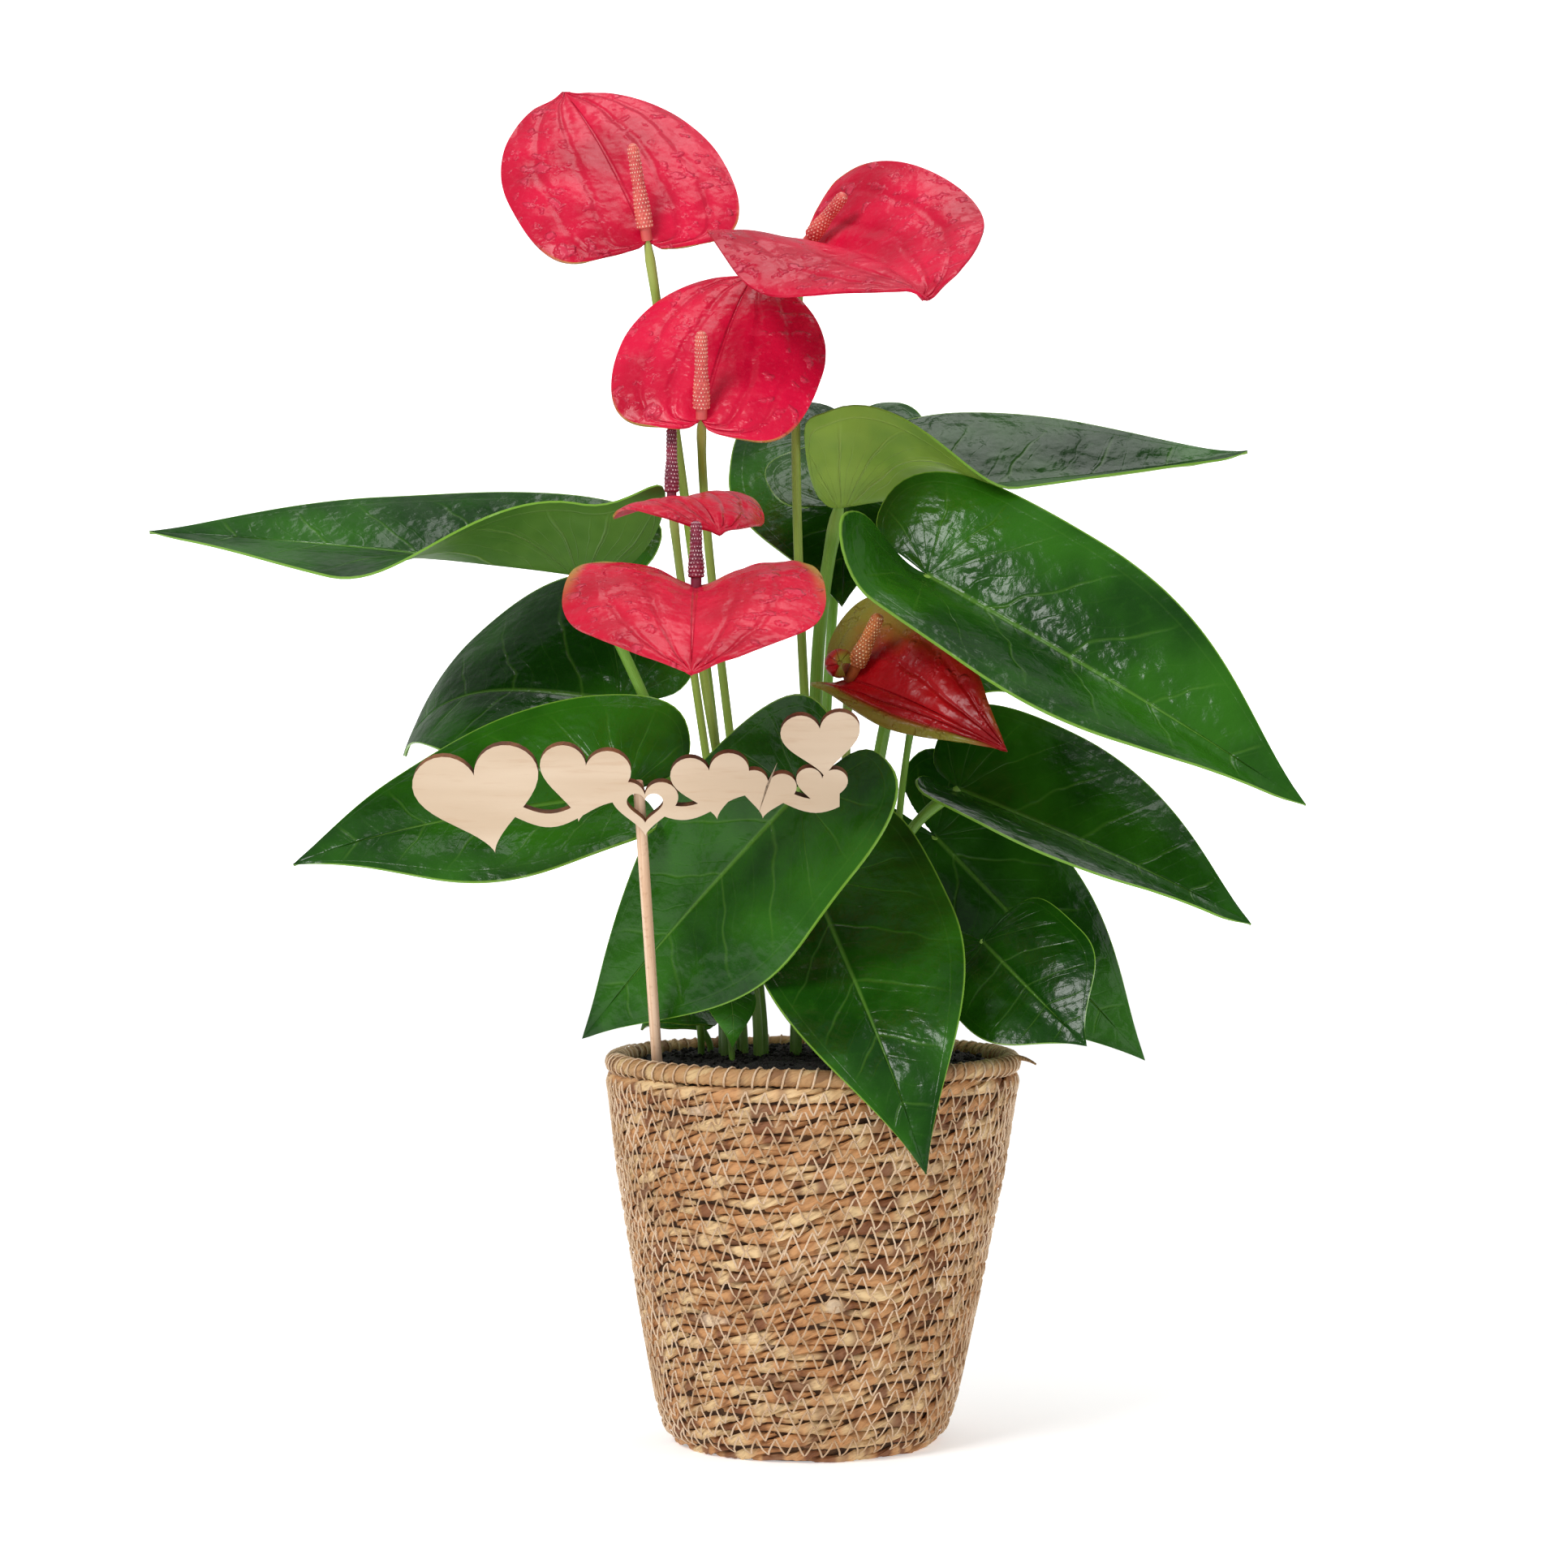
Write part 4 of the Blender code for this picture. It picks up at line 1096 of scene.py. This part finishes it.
def add_soil(finish, speck):
    """Loose soil with crumbs on it, some of them pale."""
    def place(s, t):
        angle = math.tau * s
        if t < 0.05:
            radius, drop = SOIL_RADIUS, 12.0
        else:
            radius, drop = SOIL_RADIUS * (1 - t) / 0.95, 0.0
        x, y = radius * math.cos(angle), radius * math.sin(angle)
        lumps = noise.noise(Vector((x * 0.45, y * 0.45, 2.0))) + 0.5 * noise.noise(Vector((x * 1.3, y * 1.3, 5.0)))
        z = soil_height(x, y) + 0.9 * lumps - drop
        return mm((x + lean_at(SOIL_TOP), y, z))

    bed = shaped_grid("soil_bed", 120, 48, place)
    edit(merge, cap, face_out)
    chance = random.Random(11)
    crumbs = []
    for finish_index, count, low, high in ((0, CRUMBS, 0.6, 1.7), (1, SPECKS, 0.35, 0.8)):
        bpy.ops.object.select_all(action="DESELECT")
        bpy.ops.mesh.primitive_ico_sphere_add(subdivisions=1, radius=1.0)
        model = bpy.context.object
        for vertex in model.data.vertices:
            vertex.co *= 0.8 + 0.35 * noise.noise(vertex.co * 1.7)
        for _ in range(count):
            crumb = bpy.data.objects.new("crumb", model.data.copy())
            bpy.context.scene.collection.objects.link(crumb)
            size = chance.uniform(low, high)
            away = (SOIL_RADIUS - 1.5) * math.sqrt(chance.random())
            angle = chance.uniform(0, math.tau)
            x, y = away * math.cos(angle), away * math.sin(angle)
            turn = Matrix.Rotation(chance.uniform(0, math.tau), 4, (chance.random(), chance.random(), 1))
            scale = Matrix.Diagonal((size, size * chance.uniform(0.6, 1), size * chance.uniform(0.5, 1), 1 / MM))
            place_it = Matrix.Translation(mm((x + lean_at(SOIL_TOP), y, soil_height(x, y) + 0.4)))
            crumb.data.transform(place_it @ turn @ Matrix.Diagonal((MM, MM, MM, 1)) @ Matrix.Diagonal(
                (scale[0][0], scale[1][1], scale[2][2], 1)))
            for polygon in crumb.data.polygons:
                polygon.material_index = finish_index
            crumbs.append(crumb)
        bpy.data.objects.remove(model)
    for mesh_piece in [bed] + crumbs:
        mesh_piece.data.materials.clear()
        mesh_piece.data.materials.append(finish)
        mesh_piece.data.materials.append(speck)
    soil = join("soil_loose", [bed] + crumbs)
    complete(soil, "soil", "earth")


def heart_point(size, angle):
    """Point of a heart's outline, as (across, up)."""
    across = math.sin(angle) ** 3
    up = 13 * math.cos(angle) - 5 * math.cos(2 * angle) - 2 * math.cos(3 * angle) - math.cos(4 * angle)
    return across * size / 2, (up / 16 + 0.1) * size / 2


def add_heart(x, z, size, tilt, thickness):
    """A flat heart cut from board, standing in the plate's plane."""
    count = 56
    bpy.ops.object.select_all(action="DESELECT")
    bpy.ops.mesh.primitive_circle_add(vertices=count, radius=1.0, fill_type="NGON")
    heart = bpy.context.object
    turn = Matrix.Rotation(math.radians(tilt), 4, "Y")
    for i, vertex in enumerate(heart.data.vertices):
        across, up = heart_point(size, math.tau * (i + 0.5) / count)
        vertex.co = mm(Vector((x, 0, z)) + turn @ Vector((across, 0, up)))
    apply_modifier(heart, "SOLIDIFY", thickness=thickness * MM, offset=0.0)
    edit(face_out)
    return heart


def ribbon_height(x):
    """The wavy ribbon's centre line, which climbs to the right."""
    return PLATE_CLIMB * x + RIBBON_SWING * math.sin(math.tau * (x - RIBBON_START) / RIBBON_PERIOD)


def add_plate(wood, burnt):
    """Hearts on a wavy ribbon, cut from one sheet of ply by a laser that browned the edges."""
    foot, top = mm(STICK_FOOT), mm(STICK_TOP)
    axis = (top - foot).normalized()

    def place(s, t):
        x = RIBBON_START + (RIBBON_END - RIBBON_START) * s
        return mm((x, 0, ribbon_height(x) + RIBBON_WIDTH * (t - 0.5)))

    plate = shaped_grid("pick_hearts", 66, 1, place)
    apply_modifier(plate, "SOLIDIFY", thickness=PLATE_THICKNESS * MM, offset=0.0)
    edit(face_out)
    cuts = [(add_heart(x, z, size, tilt, PLATE_THICKNESS), "UNION") for x, z, size, tilt in HEARTS]
    cuts.append((add_heart(*WINDOW, 0.0, PLATE_THICKNESS + 2), "DIFFERENCE"))
    for heart, operation in cuts:
        apply_modifier(plate, "BOOLEAN", object=heart, operation=operation, solver="EXACT")
        bpy.data.objects.remove(heart)
    take(plate)
    edit(merge, lambda: bpy.ops.mesh.dissolve_limited(angle_limit=math.radians(1)))
    mesh = plate.data
    for polygon in mesh.polygons:
        polygon.select = abs(polygon.normal.y) > 0.98
    bpy.ops.object.mode_set(mode="EDIT")
    bpy.ops.mesh.inset(thickness=0.5 * MM, depth=0.0)
    bpy.ops.object.mode_set(mode="OBJECT")
    inner = set()
    for polygon in mesh.polygons:
        if polygon.select:
            inner.update(polygon.vertices)
    scorch = mesh.attributes.new("scorch", "FLOAT", "POINT")
    for vertex in mesh.vertices:
        scorch.data[vertex.index].value = 0.0 if vertex.index in inner else 1.0
    mesh.materials.clear()
    mesh.materials.append(wood)
    mesh.materials.append(burnt)
    for polygon in mesh.polygons:
        polygon.material_index = 0 if abs(polygon.normal.y) > 0.98 else 1
    front = Vector((0, -1, 0)) * (PLATE_THICKNESS / 2 + STICK_RADIUS + PLATE_GAP) * MM
    turned = Matrix.Rotation(math.atan2(-axis.y, axis.z), 4, "X") @ Matrix.Translation(front)
    mesh.transform(Matrix.Translation(top - axis * STICK_OVERLAP * MM) @ turned)
    complete(plate, "pick_plate", "birch", angle=30.0)


def add_stick(finish):
    foot, top = mm(STICK_FOOT), mm(STICK_TOP)
    axis = (top - foot).normalized()
    count = 40
    centres = [foot.lerp(top, i / count) for i in range(count + 1)]
    radii = []
    for i in range(count + 1):
        from_end = min(i, count - i) / count * (top - foot).length / MM
        radii.append(STICK_RADIUS * MM * (0.82 + 0.18 * smooth(from_end / 1.2)))
    stick = tube("pick_dowel", centres, radii, 16)
    complete(stick, "pick_stick", "birch", finish, angle=40.0)


def add_studio():
    """Pale floor, a lit white wall behind the plant, soft lights and the camera."""
    floor = shaped_grid("studio_floor", 24, 24, lambda s, t: Vector(((s - 0.5) * 12, -4 + t * 7.0, 0)))
    floor.data.materials.append(floor_finish())
    wall = shaped_grid("studio_wall", 12, 12, lambda s, t: Vector(((s - 0.5) * 2.1, 3.0, t * 1.2)))
    wall.data.materials.append(wall_finish())
    wall.visible_glossy = False
    world = bpy.data.worlds.new("studio")
    world.use_nodes = True
    world.node_tree.nodes["Background"].inputs["Color"].default_value = (1, 1, 1, 1)
    world.node_tree.nodes["Background"].inputs["Strength"].default_value = 0.38
    bpy.context.scene.world = world
    lights = (
        # name, place, size, power
        ("key", (-1.1, -1.5, 1.7), 0.8, 33.0),
        ("fill", (1.5, -1.3, 0.9), 1.2, 6.0),
        ("top", (0.1, 0.2, 1.9), 0.9, 9.0),
        ("rim", (0.8, 1.3, 1.2), 0.8, 2.0),
    )
    for name, where, size, power in lights:
        light = bpy.data.lights.new(name, "AREA")
        light.size = size
        light.energy = power
        lamp = bpy.data.objects.new(name, light)
        lamp.location = where
        lamp.rotation_euler = (Vector((0, 0, 0.22)) - Vector(where)).to_track_quat("-Z", "Y").to_euler()
        bpy.context.scene.collection.objects.link(lamp)
    lens = bpy.data.cameras.new("camera")
    lens.lens = CAMERA_LENS
    lens.sensor_width = 36.0
    camera = bpy.data.objects.new("camera", lens)
    camera.location = CAMERA_PLACE
    camera.rotation_euler = (math.radians(CAMERA_TILT), 0, 0)
    bpy.context.scene.collection.objects.link(camera)
    bpy.context.scene.camera = camera
    bpy.context.scene.view_settings.view_transform = "Standard"


def add_plant():
    """Every leaf and flower with its stalk."""
    margin = srgb(112, 156, 52)
    leaf = leaf_finish("leaf_top", srgb(14, 56, 4), srgb(42, 98, 14), srgb(98, 146, 52), margin)
    fresh = leaf_finish("leaf_fresh", srgb(44, 104, 22), srgb(70, 134, 34), srgb(130, 180, 76), margin)
    # Painted shade and light: the common underside has darker colours, matched to undersides in shade, and a paler
    # copy paints light on the underside of leaf_upper_right.
    under = underside_finish("leaf_underside", srgb(82, 124, 32), srgb(64, 106, 26), srgb(120, 156, 62))
    lit_underside = underside_finish("leaf_underside_painted_lit", srgb(146, 178, 62), srgb(112, 150, 46), srgb(176, 202, 100))
    petiole = stem_finish("petiole_green", srgb(96, 142, 38), srgb(112, 160, 46), srgb(150, 188, 86))
    for blade in LEAVES:
        young = blade.half[0] < YOUNG_HALF
        grid = YOUNG_GRID if young else LEAF_GRID
        relief = None if young else leaf_relief
        below = lit_underside if blade.name == LIT_UNDERSIDE else under
        sheet = add_sheet(blade, grid, relief, BLADE_THICKNESS, fresh if young else leaf, below)
        complete(sheet, blade.name + "_blade", "leaf")
        add_stem(blade, "petiole", petiole)
    # Painted shade and light: in each spathe finish the deep colour also darkens the creases, and the pale colour
    # paints highlights on the crests.
    deep, bright, pale = srgb(168, 6, 40), srgb(208, 20, 60), srgb(240, 116, 144)
    green = srgb(140, 160, 66)
    spathes = {
        "salmon": spathe_finish("spathe_rose", deep, bright, pale, green, edge_tint),
        "purple": spathe_finish("spathe_red", srgb(166, 8, 36), srgb(206, 20, 54), pale, green, foot_tint),
        "orange": spathe_finish("spathe_turning", srgb(116, 4, 10), srgb(168, 12, 20), srgb(204, 76, 84),
                                srgb(104, 124, 44), shade_tint),
    }
    rosy = underside_finish("spathe_underside", srgb(218, 62, 90), srgb(190, 36, 66), srgb(234, 128, 140))
    behind = {
        "salmon": rosy,
        "purple": rosy,
        "orange": underside_finish("spathe_turning_underside", srgb(176, 176, 92), srgb(190, 90, 70),
                                   srgb(204, 200, 130)),
    }
    olive = stem_finish("flower_stalk_olive", srgb(108, 156, 42), srgb(138, 158, 54), srgb(170, 180, 92))
    florets = {
        "salmon": spadix_finish("florets_salmon", srgb(226, 112, 96), srgb(196, 70, 70), srgb(248, 214, 190)),
        "purple": spadix_finish("florets_purple", srgb(150, 36, 66), srgb(104, 20, 48), srgb(244, 222, 222)),
        "orange": spadix_finish("florets_orange", srgb(200, 116, 54), srgb(146, 72, 34), srgb(244, 222, 176)),
    }
    for flower in FLOWERS:
        kind = flower.spadix_color
        sheet = add_sheet(flower, SPATHE_GRID, spathe_relief, SPATHE_THICKNESS, spathes[kind], behind[kind])
        if flower.name == CURLED:
            sheet = join(sheet.name, [sheet, add_curl(CURL_PLACE, CURL_SIZE, spathes[kind])])
        complete(sheet, flower.name + "_spathe", "spathe")
        add_stem(flower, "flower_stalk", olive)
        add_spadix(flower, florets[flower.spadix_color])


def add_basket():
    grass = seagrass_finish("seagrass_rope", (srgb(230, 198, 148), srgb(202, 148, 96), srgb(120, 68, 38)),
                            srgb(226, 204, 178))
    add_ropes(grass)
    add_rim(seagrass_finish("seagrass_rim", (srgb(210, 178, 128), srgb(184, 140, 92), srgb(128, 86, 50)),
                            srgb(220, 198, 168)))
    add_stitches(thread_finish())
    add_core(core_finish())


def main():
    add_studio()
    add_plant()
    add_basket()
    add_soil(soil_finish("soil_dark", srgb(15, 11, 8), srgb(28, 20, 15)),
             soil_finish("soil_speck", srgb(190, 178, 160), srgb(150, 132, 110)))
    add_plate(birch_finish("birch_ply"), burnt_finish())
    add_stick(stick_finish())
    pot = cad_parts["nursery_pot"]
    pot.data.materials.clear()
    pot.data.materials.append(plastic_finish())


main()
